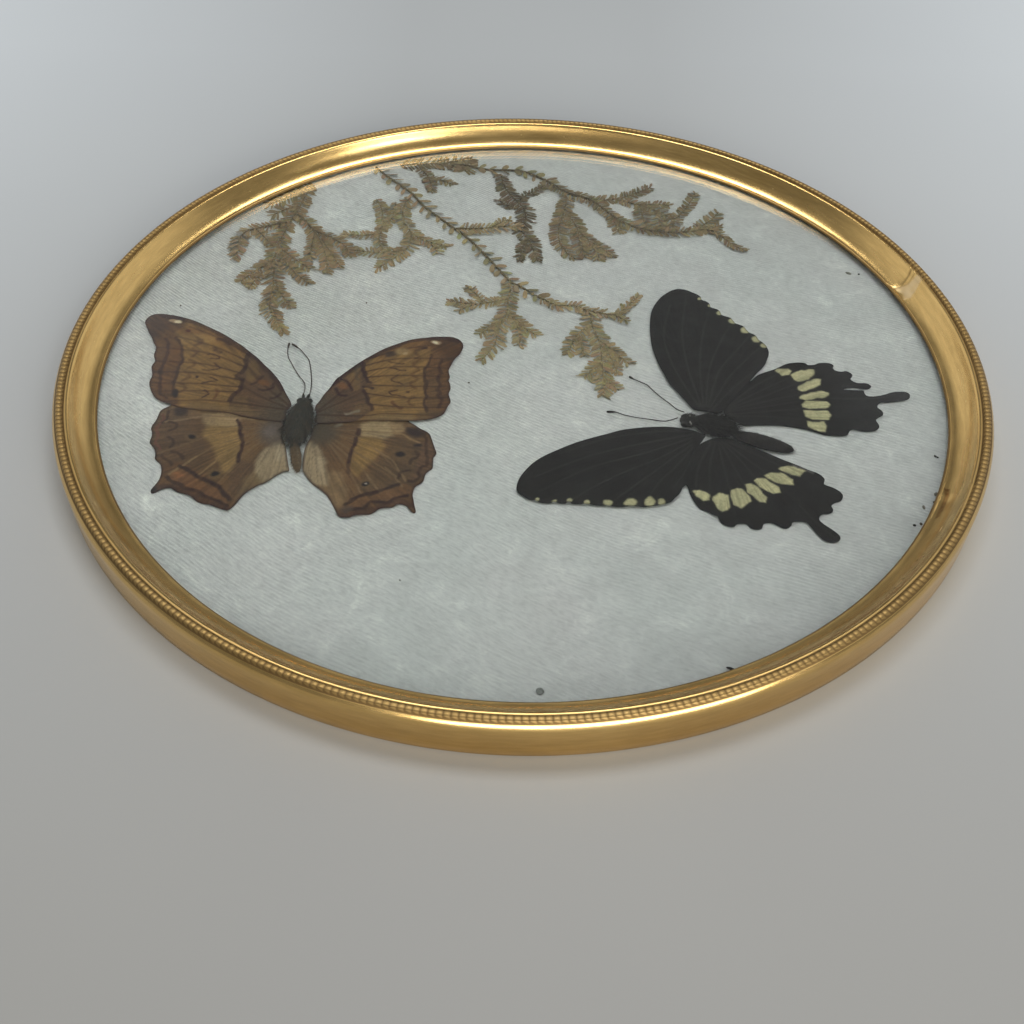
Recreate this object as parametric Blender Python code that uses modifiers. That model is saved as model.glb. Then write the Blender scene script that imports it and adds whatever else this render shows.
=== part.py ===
"""Two butterflies and pressed fern sprigs on satin, under glass in a round stamped brass frame.

The frame lies face up: +Z comes out of the glass, +Y is the top of the picture, and the origin
is the middle of the rim's bottom edge. Outlines are in millimetres, seen from the front.
"""
import math

import bmesh
import bpy
from mathutils import Matrix, Vector

MM = 0.001

# Rim, a stamped sheet turned about Z
RIM_RADIUS = 101.5
RIM_HEIGHT = 9.5
SHEET = 0.45
BEAD_OUTER_RADIUS = 100.6
BEAD_INNER_RADIUS = 99.1
STRIP_INNER_RADIUS = 98.4
LIP_RADIUS = 93.3
LIP_TOP = 4.25
HEM_RADIUS = 99.3
RIM_SEGMENTS = 96

# Layers behind the lip, as lowest level and thickness
BOARD = (0.5, 0.6)
CLOTH = (1.2, 0.8)
LOW_LEAF = (2.10, 0.15)
MID_LEAF = (2.30, 0.15)
HIGH_LEAF = (2.50, 0.12)
GLASS = (2.7, 1.0)
BOARD_RADIUS = 100.4
CLOTH_RADIUS = 99.0
GLASS_RADIUS = 99.5
DISC_SEGMENTS = 96

# Bodies and feelers
BODY_MIDDLE = 2.05
BODY_HALF_DEPTH = 0.55
POCKET_FLOOR = 1.4
POCKET_GAP = 0.4
FEELER_RADIUS = 0.12
FEELER_LEVEL = 2.28

# Hanger behind the board
HANGER_LEVEL = (0.12, 0.3)
HANGER_LENGTH = 42.0
HANGER_WIDTH = 8.0
HANGER_Y = 72.0
HANGER_TEETH = 13

BROWN_LEFT_FOREWING = [
    (-50.0, -17.7), (-51.8, -14.0), (-53.7, -10.3), (-56.0, -7.0), (-58.0, -4.7), (-60.0, -2.3),
    (-62.0, -0.3), (-64.0, 1.7), (-66.0, 3.4), (-68.0, 5.0), (-70.0, 6.5), (-72.0, 7.8),
    (-74.0, 9.0), (-76.0, 10.2), (-78.0, 11.2), (-80.0, 12.0), (-82.0, 12.6), (-84.0, 13.0),
    (-85.5, 13.2), (-87.0, 13.0), (-88.0, 12.3), (-88.5, 11.3), (-88.7, 10.0), (-88.2, 8.7),
    (-87.5, 7.3), (-86.7, 5.8), (-85.7, 4.2), (-84.8, 2.3), (-84.0, 1.0), (-83.7, -0.3),
    (-83.7, -1.8), (-83.3, -3.2), (-82.9, -4.3), (-83.2, -6.0), (-82.9, -7.3), (-82.5, -8.5),
    (-82.3, -9.7), (-82.4, -11.0), (-82.2, -12.3), (-81.6, -13.8), (-80.8, -15.3), (-79.8, -16.7),
    (-78.3, -17.8), (-77.0, -18.3), (-75.7, -18.8), (-74.7, -19.3), (-72.0, -20.0), (-69.0, -20.4),
    (-66.0, -20.6), (-63.0, -21.0), (-60.0, -21.9), (-56.0, -22.8), (-50.8, -23.2), (-50.7, -20.0)]
BROWN_RIGHT_FOREWING = [
    (-44.8, -18.3), (-44.1, -16.3), (-43.3, -13.9), (-42.5, -12.1), (-41.9, -10.2), (-41.4, -8.8),
    (-40.6, -7.7), (-39.4, -6.0), (-38.0, -4.1), (-36.6, -2.4), (-35.0, -0.7), (-33.4, 0.9),
    (-31.9, 2.3), (-30.0, 3.6), (-28.1, 4.8), (-26.3, 5.8), (-24.4, 6.4), (-22.5, 6.8),
    (-20.6, 7.2), (-18.8, 7.3), (-16.9, 7.3), (-15.6, 6.8), (-14.7, 6.1), (-14.1, 5.0),
    (-13.9, 3.6), (-14.1, 2.6), (-14.5, 1.2), (-15.2, 0.0), (-15.8, -1.3), (-16.3, -3.0),
    (-16.7, -4.7), (-16.5, -6.1), (-16.3, -7.2), (-16.5, -8.3), (-16.1, -9.6), (-15.9, -11.1),
    (-16.2, -12.7), (-15.9, -14.1), (-15.6, -15.5), (-16.1, -16.8), (-16.5, -18.3), (-17.1, -19.7),
    (-18.4, -20.7), (-20.0, -21.4), (-21.9, -21.8), (-23.4, -22.0), (-26.8, -22.1), (-29.4, -22.1),
    (-32.4, -22.2), (-36.8, -22.9), (-39.4, -23.2), (-44.0, -23.4), (-44.2, -20.6)]
BROWN_LEFT_HINDWING = [
    (-74.0, -17.6), (-76.2, -19.1), (-77.1, -19.8), (-77.8, -20.8), (-77.9, -22.1), (-78.0, -23.8),
    (-78.4, -25.2), (-78.4, -26.4), (-78.0, -27.4), (-77.7, -28.8), (-77.7, -30.5), (-77.1, -31.4),
    (-76.2, -32.6), (-75.6, -34.1), (-75.4, -35.4), (-74.6, -36.3), (-73.9, -37.0), (-73.4, -38.2),
    (-73.1, -39.6), (-73.1, -41.4), (-73.5, -42.9), (-73.9, -43.9), (-74.0, -44.6), (-73.7, -45.3),
    (-73.1, -45.2), (-72.4, -44.5), (-71.5, -43.9), (-70.3, -43.7), (-69.6, -44.1), (-68.6, -44.8),
    (-67.2, -45.2), (-65.9, -45.7), (-64.9, -46.6), (-63.9, -47.4), (-62.8, -47.8), (-61.5, -48.0),
    (-60.2, -48.6), (-58.9, -49.1), (-57.8, -49.4), (-57.2, -49.1), (-56.5, -48.0), (-56.1, -47.0),
    (-55.6, -45.8), (-54.9, -44.5), (-54.0, -43.5), (-52.8, -42.3), (-51.6, -41.6), (-50.8, -40.8),
    (-49.6, -39.4), (-48.4, -38.3), (-47.3, -37.9), (-47.8, -35.8), (-48.5, -33.2), (-49.2, -30.5),
    (-50.4, -27.5), (-50.8, -23.6), (-55.0, -20.5), (-62.0, -18.0)]
BROWN_RIGHT_HINDWING = [
    (-27.0, -19.4), (-24.0, -22.1), (-22.8, -23.0), (-21.6, -24.1), (-20.3, -24.9), (-19.4, -25.8),
    (-19.0, -26.9), (-18.6, -28.2), (-18.1, -29.8), (-17.6, -31.4), (-17.8, -32.3), (-18.1, -32.9),
    (-18.1, -34.4), (-18.1, -36.1), (-18.8, -36.9), (-19.4, -37.9), (-19.6, -39.4), (-20.0, -40.4),
    (-21.0, -41.3), (-21.4, -42.3), (-21.5, -43.8), (-21.2, -45.2), (-20.9, -46.7), (-20.5, -48.2),
    (-20.7, -48.8), (-21.3, -48.6), (-21.9, -47.7), (-22.6, -46.9), (-23.5, -46.5), (-24.4, -46.6),
    (-25.3, -47.4), (-26.8, -47.6), (-27.9, -48.0), (-28.7, -48.9), (-29.7, -49.5), (-31.2, -49.6),
    (-32.6, -49.9), (-33.5, -50.4), (-34.9, -50.5), (-35.7, -50.1), (-36.3, -48.9), (-36.8, -47.9),
    (-37.6, -46.4), (-38.7, -44.6), (-40.0, -43.2), (-41.6, -41.9), (-43.1, -40.2), (-44.1, -38.5),
    (-44.6, -37.6), (-44.9, -35.5), (-45.1, -33.0), (-45.0, -30.3), (-44.4, -27.5), (-44.1, -24.0),
    (-40.0, -20.5), (-34.0, -19.0)]
BLACK_UPPER_FOREWING = [
    (37.4, -16.0), (35.8, -13.3), (34.2, -10.4), (32.7, -7.6), (31.7, -4.4), (30.8, -1.5),
    (30.1, 1.7), (29.6, 4.9), (29.4, 8.1), (29.4, 11.4), (29.6, 14.6), (30.0, 17.8), (30.6, 20.3),
    (31.6, 22.6), (32.7, 24.6), (34.2, 26.4), (35.6, 27.7), (37.0, 28.4), (38.3, 28.4),
    (39.7, 27.9), (40.8, 27.1), (42.0, 26.2), (42.6, 25.3), (42.7, 24.2), (43.5, 23.8),
    (44.2, 23.1), (44.5, 22.3), (44.6, 21.3), (46.0, 20.6), (46.7, 19.6), (46.9, 18.4),
    (48.1, 17.7), (49.0, 17.2), (49.4, 16.2), (49.9, 15.2), (50.8, 14.7), (51.7, 14.0),
    (52.1, 13.0), (52.7, 11.8), (53.6, 11.2), (54.2, 10.4), (54.5, 9.3), (55.3, 8.2), (56.0, 7.0),
    (56.2, 5.9), (56.3, 4.9), (56.1, 3.5), (55.6, 2.1), (54.9, 0.3), (53.8, -1.5), (52.2, -3.6),
    (48.0, -10.0), (43.2, -16.6), (40.4, -16.4)]
BLACK_LOWER_FOREWING = [
    (36.3, -22.5), (34.0, -22.0), (31.3, -21.7), (28.7, -21.8), (26.0, -22.1), (23.3, -22.6),
    (21.0, -23.2), (18.7, -24.2), (16.3, -25.2), (14.0, -26.2), (11.7, -27.3), (9.3, -28.7),
    (7.0, -30.2), (4.7, -31.8), (2.7, -33.7), (1.2, -35.8), (0.0, -38.0), (-0.6, -40.0),
    (-0.7, -41.7), (-0.2, -42.8), (1.0, -43.8), (2.0, -44.5), (3.2, -44.6), (4.2, -45.2),
    (6.2, -45.2), (6.8, -44.8), (8.0, -45.2), (9.2, -45.2), (9.8, -44.6), (10.5, -45.3),
    (12.0, -45.3), (13.2, -45.1), (14.7, -45.5), (16.5, -45.6), (17.8, -45.5), (19.0, -45.8),
    (20.8, -45.7), (22.2, -45.4), (23.5, -45.5), (25.0, -45.6), (27.0, -45.2), (28.8, -44.7),
    (30.3, -44.0), (31.2, -42.8), (32.0, -41.9), (32.5, -41.0), (33.0, -39.8), (33.8, -38.7),
    (34.3, -35.0), (35.8, -30.0), (39.0, -24.4), (38.0, -23.4)]
BLACK_UPPER_HINDWING = [
    (50.5, -6.0), (52.7, -3.5), (54.7, -2.3), (56.7, -1.3), (58.2, -0.3), (59.7, 0.7),
    (61.3, 1.2), (63.0, 1.4), (64.1, 1.2), (64.6, 0.6), (65.3, 0.6), (66.3, 0.8), (67.3, 1.4),
    (69.0, 1.6), (70.2, 1.2), (70.5, 0.5), (70.2, -0.3), (70.8, -1.2), (72.0, -1.4), (73.0, -1.2),
    (73.8, -1.7), (74.2, -2.5), (73.9, -3.3), (73.5, -4.0), (74.0, -4.8), (75.0, -5.3),
    (76.5, -5.3), (77.3, -5.7), (77.7, -6.3), (77.3, -7.0), (76.5, -7.4), (75.0, -7.2),
    (73.7, -6.9), (72.3, -7.0), (71.3, -7.6), (72.5, -7.7), (74.3, -7.8), (75.7, -7.9),
    (75.7, -8.8), (76.3, -9.7), (78.0, -9.7), (80.0, -9.1), (82.0, -8.2), (84.0, -7.9),
    (85.2, -8.1), (85.7, -8.8), (85.4, -10.0), (84.3, -10.8), (82.3, -11.3), (80.3, -11.7),
    (78.8, -11.8), (78.0, -12.5), (77.7, -13.5), (78.5, -14.7), (78.3, -16.0), (77.2, -16.8),
    (76.5, -17.7), (76.8, -19.0), (76.7, -20.0), (75.8, -21.0), (74.3, -21.4), (72.7, -21.3),
    (71.2, -20.8), (70.2, -21.3), (69.5, -22.5), (68.3, -23.0), (66.3, -23.0), (64.3, -22.7),
    (62.3, -21.8), (60.0, -21.0), (57.3, -20.5), (55.0, -20.2), (52.7, -20.2), (50.0, -20.3),
    (47.6, -20.5), (46.4, -19.4), (44.0, -17.6), (44.2, -13.0), (47.0, -8.6)]
BLACK_LOWER_HINDWING = [
    (32.6, -36.5), (33.9, -39.2), (34.2, -41.0), (34.6, -42.6), (35.2, -44.2), (36.1, -45.7),
    (37.4, -46.3), (38.3, -47.0), (39.3, -47.6), (39.4, -48.2), (39.9, -49.4), (41.1, -50.1),
    (42.3, -50.1), (42.8, -49.5), (43.8, -49.3), (44.8, -49.5), (45.4, -50.4), (46.4, -50.8),
    (47.6, -50.5), (48.0, -49.5), (48.5, -49.0), (49.6, -48.9), (50.8, -49.5), (51.7, -50.2),
    (52.7, -50.2), (53.6, -49.4), (53.9, -48.6), (55.2, -48.3), (56.7, -48.6), (57.4, -49.8),
    (58.2, -51.4), (59.1, -52.9), (60.2, -53.6), (61.4, -53.6), (62.3, -53.2), (62.7, -52.3),
    (62.4, -51.4), (61.4, -50.2), (60.1, -48.9), (59.4, -47.9), (59.5, -47.0), (60.2, -46.1),
    (61.4, -46.0), (62.3, -45.5), (62.6, -44.6), (62.4, -43.8), (63.2, -42.9), (64.4, -42.4),
    (65.1, -41.4), (65.2, -40.4), (64.6, -39.4), (63.5, -38.5), (62.0, -37.7), (62.3, -36.4),
    (62.0, -35.4), (61.0, -34.4), (59.4, -33.6), (57.0, -32.1), (54.6, -30.8), (52.6, -29.5),
    (50.8, -28.3), (48.5, -27.0), (45.9, -25.6), (44.3, -24.7), (40.4, -24.8), (35.5, -29.0)]

# Body lobes as centre x, y, half length, half width and turn in degrees
BROWN_LOBES = [(-47.5, -23.0, 7.2, 2.9, 90.0), (-47.4, -16.6, 1.5, 1.5, 0.0),
               (-46.7, -33.0, 5.3, 1.1, -76.5)]
BLACK_LOBES = [(41.5, -20.5, 5.0, 3.4, -20.0), (36.1, -19.2, 2.1, 2.1, 0.0),
               (51.0, -25.3, 6.9, 2.2, -21.2)]

BROWN_FEELERS = [
    [(-48.0, -14.5), (-47.9, -12.7), (-48.3, -10.3), (-49.7, -8.2), (-51.0, -6.0), (-52.3, -3.5),
     (-53.2, -1.7), (-53.7, 0.2), (-53.9, 2.0), (-53.9, 3.6)],
    [(-46.6, -14.5), (-46.6, -12.0), (-46.8, -9.7), (-47.3, -7.0), (-47.8, -4.7), (-48.5, -2.3),
     (-49.5, -0.7), (-50.7, 1.0), (-51.8, 2.2), (-53.2, 3.3)]]
BLACK_FEELERS = [
    [(35.2, -16.7), (33.6, -15.8), (32.2, -14.0), (30.4, -11.9), (28.6, -9.4), (27.6, -7.9),
     (26.1, -6.9), (24.7, -6.0), (23.8, -5.2)],
    [(33.6, -18.6), (32.0, -19.4), (30.3, -19.8), (27.3, -19.3), (25.3, -19.0), (23.7, -18.6),
     (22.0, -18.1), (20.3, -17.3), (18.3, -17.2)]]

# Fern branches, each a half width and the points that its stem follows
FERN = {
    "fern_left_stem": (LOW_LEAF, [
        (2.4, [(-58.7, 73.0), (-59.8, 67.0), (-60.7, 60.0), (-62.0, 53.5), (-62.9, 46.0),
               (-63.1, 38.0), (-62.0, 30.0), (-61.3, 24.0), (-61.0, 18.0), (-58.6, 12.5),
               (-56.0, 8.0)]),
        (1.8, [(-60.6, 26.0), (-58.3, 21.5), (-56.2, 17.5)]),
        (2.2, [(-63.0, 37.0), (-66.0, 33.0), (-68.5, 29.5), (-69.5, 27.4)]),
        (1.6, [(-65.0, 31.5), (-66.3, 28.0), (-67.0, 25.0)]),
        (1.9, [(-62.5, 42.5), (-59.5, 39.0), (-56.5, 36.0), (-53.5, 33.5)]),
        (1.9, [(-61.0, 37.5), (-58.7, 34.0), (-56.0, 30.5), (-53.0, 27.4)]),
        (1.8, [(-61.0, 62.0), (-64.5, 59.7), (-66.8, 57.3)]),
        (2.0, [(-60.2, 70.0), (-64.5, 66.0), (-68.3, 62.6)])]),
    "fern_left_hook": (MID_LEAF, [
        (2.2, [(-62.6, 53.8), (-66.0, 52.2), (-69.5, 50.6), (-72.3, 48.8), (-73.3, 45.5),
               (-73.0, 41.0), (-72.8, 36.5)]),
        (1.7, [(-69.8, 50.0), (-67.0, 46.4), (-64.6, 43.0)])]),
    "fern_left_side": (MID_LEAF, [
        (2.1, [(-60.3, 57.4), (-57.5, 54.0), (-55.0, 50.0), (-52.6, 45.5), (-51.0, 41.0),
               (-49.8, 36.5), (-49.0, 31.8)]),
        (1.7, [(-54.6, 48.5), (-54.5, 43.0), (-54.2, 37.6)]),
        (1.8, [(-52.3, 46.0), (-50.2, 42.0), (-48.0, 38.0), (-46.2, 34.4)]),
        (1.9, [(-54.8, 50.0), (-51.0, 47.6), (-48.4, 45.8), (-45.8, 43.0), (-44.2, 39.0)])]),
    "fern_middle_stem": (MID_LEAF, [
        (1.9, [(-42.4, 82.5), (-38.5, 77.5), (-34.0, 72.5), (-31.0, 69.0), (-28.5, 64.5),
               (-25.5, 60.5), (-22.5, 57.0), (-19.5, 53.5), (-16.5, 50.3), (-13.5, 46.0),
               (-11.0, 42.0), (-8.8, 38.5), (-6.5, 34.5), (-3.8, 30.0), (-1.0, 27.7), (2.2, 24.6),
               (5.2, 22.3), (7.9, 20.4), (11.5, 20.7), (15.2, 18.8), (18.3, 17.9), (21.4, 17.4),
               (23.3, 19.2), (25.2, 21.9), (27.4, 25.0)]),
        (1.4, [(20.8, 17.5), (22.6, 16.4), (24.0, 15.2)])]),
    "fern_middle_cluster": (LOW_LEAF, [
        (2.1, [(-31.5, 67.5), (-33.0, 63.0), (-32.5, 57.0), (-30.5, 52.0), (-28.0, 48.5),
               (-24.5, 46.4), (-20.2, 44.7)]),
        (1.6, [(-25.6, 46.8), (-23.2, 43.8), (-22.6, 41.4)]),
        (1.8, [(-40.5, 66.3), (-38.8, 62.0), (-37.8, 57.0), (-37.5, 52.5), (-38.0, 48.5),
               (-37.4, 45.0), (-36.0, 41.6)]),
        (1.5, [(-35.2, 65.0), (-35.3, 60.0), (-36.0, 55.5), (-37.4, 51.5)]),
        (1.7, [(-38.0, 49.6), (-42.5, 48.9), (-47.3, 49.2)]),
        (2.3, [(-30.0, 51.0), (-29.7, 45.5), (-31.5, 41.3), (-34.0, 38.0), (-36.8, 34.4)]),
        (2.1, [(-30.6, 42.6), (-35.5, 41.4), (-40.0, 41.4), (-43.8, 42.4)])]),
    "fern_middle_side": (HIGH_LEAF, [
        (2.2, [(-18.4, 52.4), (-14.0, 52.6), (-10.0, 53.1), (-6.0, 54.0), (-2.4, 53.9)]),
        (1.6, [(-9.0, 53.5), (-6.6, 56.0), (-4.6, 57.6)])]),
    "fern_middle_spray": (LOW_LEAF, [
        (2.3, [(-3.8, 29.8), (-3.7, 26.5), (-4.1, 22.0), (-4.3, 17.0), (-5.4, 13.6), (-6.3, 9.5),
               (-6.6, 6.0), (-7.7, 3.0), (-9.5, -0.4)]),
        (1.8, [(-4.2, 23.0), (-8.6, 21.4), (-12.0, 20.6), (-18.2, 21.2)]),
        (1.4, [(-12.5, 20.4), (-14.4, 19.0), (-15.6, 17.6)]),
        (1.5, [(-10.2, 21.6), (-12.0, 24.6), (-14.0, 27.3)]),
        (1.9, [(-5.2, 14.6), (-7.8, 11.6), (-10.4, 8.8)]),
        (1.8, [(-4.2, 17.6), (-1.3, 13.9), (0.6, 11.0), (3.0, 9.3)]),
        (1.7, [(-2.6, 15.2), (-1.4, 11.5), (-0.9, 8.0), (-1.1, 5.0)])]),
    "fern_middle_drop": (LOW_LEAF, [
        (2.3, [(15.3, 18.9), (15.8, 16.2), (16.0, 13.0), (16.8, 10.2), (17.5, 7.0), (17.8, 2.0),
               (17.9, -3.0), (18.2, -8.0), (17.8, -11.8)]),
        (1.9, [(15.9, 13.6), (12.9, 10.4), (11.4, 6.9), (10.1, 2.4)]),
        (1.6, [(12.9, 9.6), (13.4, 5.6), (13.8, 1.8)]),
        (1.9, [(17.7, 7.6), (20.2, 4.4), (22.2, 1.6), (24.0, -0.6)]),
        (1.7, [(19.0, 5.0), (20.3, 0.0), (21.3, -4.0)]),
        (2.0, [(17.9, 0.0), (15.5, -3.2), (13.9, -5.8)]),
        (1.6, [(18.1, -5.4), (20.0, -8.2), (21.3, -9.8)])]),
    "fern_top_stem": (MID_LEAF, [
        (2.1, [(-21.5, 84.4), (-18.0, 84.8), (-14.0, 83.4), (-10.0, 82.6), (-5.0, 82.7),
               (-1.0, 82.0), (3.0, 79.2), (6.0, 76.6), (10.5, 71.6), (14.0, 70.0), (17.0, 68.0),
               (20.0, 64.5), (22.0, 61.5), (25.0, 58.0), (28.0, 55.7), (31.0, 54.4), (35.0, 53.6),
               (39.0, 53.6), (43.0, 54.2), (46.0, 55.2), (49.0, 54.4), (51.2, 51.0), (53.0, 48.2),
               (55.6, 46.2)])]),
    "fern_top_dark": (LOW_LEAF, [
        (2.4, [(-7.6, 81.0), (-7.0, 77.0), (-6.0, 73.0), (-4.0, 69.0), (-2.0, 65.5), (-0.6, 62.0),
               (-0.6, 57.0), (-1.6, 53.4), (0.2, 49.5), (1.6, 45.0), (2.8, 39.4)]),
        (1.6, [(-2.0, 68.0), (0.3, 71.0), (3.2, 73.2), (4.0, 76.0)]),
        (1.7, [(-2.6, 63.4), (-5.6, 65.0), (-7.6, 67.2)]),
        (1.6, [(-0.4, 48.5), (-1.2, 44.0), (-1.6, 39.6)])]),
    "fern_top_fan": (LOW_LEAF, [
        (2.3, [(10.4, 70.6), (10.0, 64.0), (8.6, 57.0), (8.2, 50.0), (9.6, 44.6), (12.4, 40.6)]),
        (2.3, [(9.6, 63.0), (12.4, 57.0), (13.4, 52.0), (13.8, 46.0), (15.0, 41.4)]),
        (2.0, [(13.2, 54.0), (16.2, 48.5), (17.6, 44.5), (18.2, 40.6)]),
        (1.8, [(16.4, 48.6), (19.6, 45.2), (21.6, 42.4)])]),
    "fern_top_right": (LOW_LEAF, [
        (2.1, [(15.6, 69.0), (20.0, 68.6), (24.0, 69.6), (28.0, 71.6), (31.0, 73.8), (33.4, 75.8)]),
        (2.2, [(23.6, 69.4), (28.6, 67.2), (33.0, 65.0), (36.5, 62.0), (38.4, 58.5), (37.6, 54.6)]),
        (1.7, [(30.2, 66.6), (34.4, 67.2), (38.0, 66.8)]),
        (1.8, [(38.2, 59.0), (40.6, 62.6), (43.0, 67.0), (45.4, 73.2)]),
        (2.2, [(30.0, 66.4), (30.4, 62.0), (31.0, 58.0), (31.8, 55.0)]),
        (1.9, [(34.6, 64.0), (34.8, 59.0), (35.0, 55.2)])]),
    "fern_top_tip": (LOW_LEAF, [
        (2.2, [(43.4, 54.0), (46.2, 57.6), (48.8, 60.6), (50.6, 63.6)]),
        (1.8, [(43.4, 54.4), (47.0, 55.2), (50.6, 57.6)])]),
    "fern_top_twig": (LOW_LEAF, [
        (1.9, [(22.2, 61.0), (23.2, 57.0), (24.0, 53.2)])]),
    "fern_top_left": (LOW_LEAF, [
        (2.1, [(-33.8, 83.0), (-29.0, 83.4), (-25.0, 84.2), (-21.8, 83.6)]),
        (1.7, [(-30.4, 83.2), (-28.0, 79.4), (-26.8, 75.6), (-26.0, 71.0)]),
        (1.7, [(-27.6, 78.2), (-23.8, 76.8), (-20.6, 74.6)]),
        (2.1, [(-17.2, 88.6), (-17.0, 85.6), (-17.6, 82.0)]),
        (1.5, [(-22.6, 83.8), (-19.6, 83.6), (-16.8, 84.2)])]),
}


def clear_scene():
    for obj in list(bpy.data.objects):
        bpy.data.objects.remove(obj, do_unlink=True)


def new_collection(name):
    group = bpy.data.collections.new(name)
    bpy.context.scene.collection.children.link(group)
    return group


def finish(name, colour, roughness, metallic=0.0, transmission=0.0):
    """A plain material with the part's colour and gloss."""
    surface = bpy.data.materials.new(name)
    surface.use_nodes = True
    shader = surface.node_tree.nodes["Principled BSDF"]
    shader.inputs["Base Color"].default_value = (*colour, 1.0)
    shader.inputs["Roughness"].default_value = roughness
    shader.inputs["Metallic"].default_value = metallic
    shader.inputs["Transmission Weight"].default_value = transmission
    return surface


def place(name, mesh, surface, group):
    obj = bpy.data.objects.new(name, mesh)
    group.objects.link(obj)
    mesh.materials.clear()
    mesh.materials.append(surface)
    return obj


def as_mesh(obj, name):
    """Turn a curve or a modified object into one welded mesh, in place of it."""
    graph = bpy.context.evaluated_depsgraph_get()
    mesh = bpy.data.meshes.new_from_object(obj.evaluated_get(graph))
    mesh.transform(obj.matrix_world)
    work = bmesh.new()
    work.from_mesh(mesh)
    bmesh.ops.remove_doubles(work, verts=work.verts, dist=0.002 * MM)
    bmesh.ops.recalc_face_normals(work, faces=work.faces)
    work.to_mesh(mesh)
    work.free()
    bpy.data.objects.remove(obj, do_unlink=True)
    mesh.name = name
    return mesh


def plate_mesh(name, outline, level, group):
    """A flat piece with the given outline; level is its lowest height and its thickness."""
    low, thickness = level
    curve = bpy.data.curves.new(name, "CURVE")
    curve.dimensions = "2D"
    curve.fill_mode = "BOTH"
    curve.extrude = thickness * MM / 2
    spline = curve.splines.new("POLY")
    spline.points.add(len(outline) - 1)
    for point, (x, y) in zip(spline.points, outline):
        point.co = (x * MM, y * MM, 0.0, 1.0)
    spline.use_cyclic_u = True
    obj = bpy.data.objects.new(name, curve)
    group.objects.link(obj)
    obj.location.z = (low + thickness / 2) * MM
    bpy.context.view_layer.update()
    return as_mesh(obj, name)


def leafy_outline(half_width, points):
    """The outline that the leaflets along a stem reach: narrow at its root, round at its tip."""
    route = [Vector(point) for point in points]
    count = len(route) - 1
    left, right = [], []
    for i, here in enumerate(route):
        along = (route[min(i + 1, count)] - route[max(i - 1, 0)]).normalized()
        side = Vector((-along.y, along.x))
        grow = min(1.0, 0.35 + 2.2 * i / count)
        shrink = min(1.0, 0.45 + 1.5 * (count - i) / count)
        width = half_width * grow * shrink
        left.append(here + side * width)
        right.append(here - side * width)
    tip = route[-1] + (route[-1] - route[-2]).normalized() * 0.6 * half_width
    return left + [tip] + right[::-1]


def boolean(obj, other, operation):
    modifier = obj.modifiers.new(operation.title(), "BOOLEAN")
    modifier.operation = operation
    modifier.solver = "EXACT"
    modifier.object = other


def hide_as_cutter(obj):
    obj.hide_render = True
    obj.display_type = "WIRE"


def turned(name, profile, segments, surface, group):
    """A closed profile of radius and height, outer side first, turned about Z."""
    mesh = bpy.data.meshes.new(name)
    points = [(radius * MM, 0.0, height * MM) for radius, height in profile]
    edges = [(i, (i + 1) % len(points)) for i in range(len(points))]
    mesh.from_pydata(points, edges, [])
    obj = place(name, mesh, surface, group)
    screw = obj.modifiers.new("Turn", "SCREW")
    screw.steps = segments
    screw.render_steps = segments
    screw.use_merge_vertices = True
    screw.merge_threshold = 0.00001
    screw.use_smooth_shade = True
    return obj


def rim_profile():
    """The stamped sheet's section: wall, rolled top, cove and lip, with a hem turned in below."""
    wall = RIM_RADIUS - SHEET
    top = RIM_HEIGHT
    outer = [(99.85, top), (BEAD_OUTER_RADIUS, top - 0.3), (101.2, top - 0.95),
             (RIM_RADIUS, top - 1.7), (RIM_RADIUS, 0.0), (HEM_RADIUS, 0.0), (HEM_RADIUS, 0.4)]
    under = [(wall, 0.4), (wall, top - 1.9), (100.2, top - 0.85), (99.0, top - 1.15),
             (98.1, top - 1.5), (96.8, 6.05), (95.3, 4.6), (LIP_RADIUS, 3.8)]
    face = [(LIP_RADIUS - 0.1, 4.05), (LIP_RADIUS + 0.4, LIP_TOP), (94.5, LIP_TOP + 0.2),
            (95.9, 5.4), (97.2, 6.9), (STRIP_INNER_RADIUS, 8.7), (BEAD_INNER_RADIUS, 8.85),
            (99.3, top - 0.15)]
    return outer + under + face


def disc(name, radius, level, surface, group):
    low, thickness = level
    work = bmesh.new()
    bmesh.ops.create_cone(work, cap_ends=True, segments=DISC_SEGMENTS, radius1=radius * MM,
                          radius2=radius * MM, depth=thickness * MM,
                          matrix=Matrix.Translation((0, 0, (low + thickness / 2) * MM)))
    mesh = bpy.data.meshes.new(name)
    work.to_mesh(mesh)
    work.free()
    return place(name, mesh, surface, group)


def lobe(name, shape, surface, group):
    """One flattened ellipsoid of a body."""
    x, y, half_length, half_width, turn = shape
    work = bmesh.new()
    bmesh.ops.create_uvsphere(work, u_segments=20, v_segments=8, radius=1.0)
    mesh = bpy.data.meshes.new(name)
    work.to_mesh(mesh)
    work.free()
    size = Matrix.Diagonal((half_length * MM, half_width * MM, BODY_HALF_DEPTH * MM, 1.0))
    spin = Matrix.Rotation(math.radians(turn), 4, "Z")
    mesh.transform(Matrix.Translation((x * MM, y * MM, BODY_MIDDLE * MM)) @ spin @ size)
    return place(name, mesh, surface, group)


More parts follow.
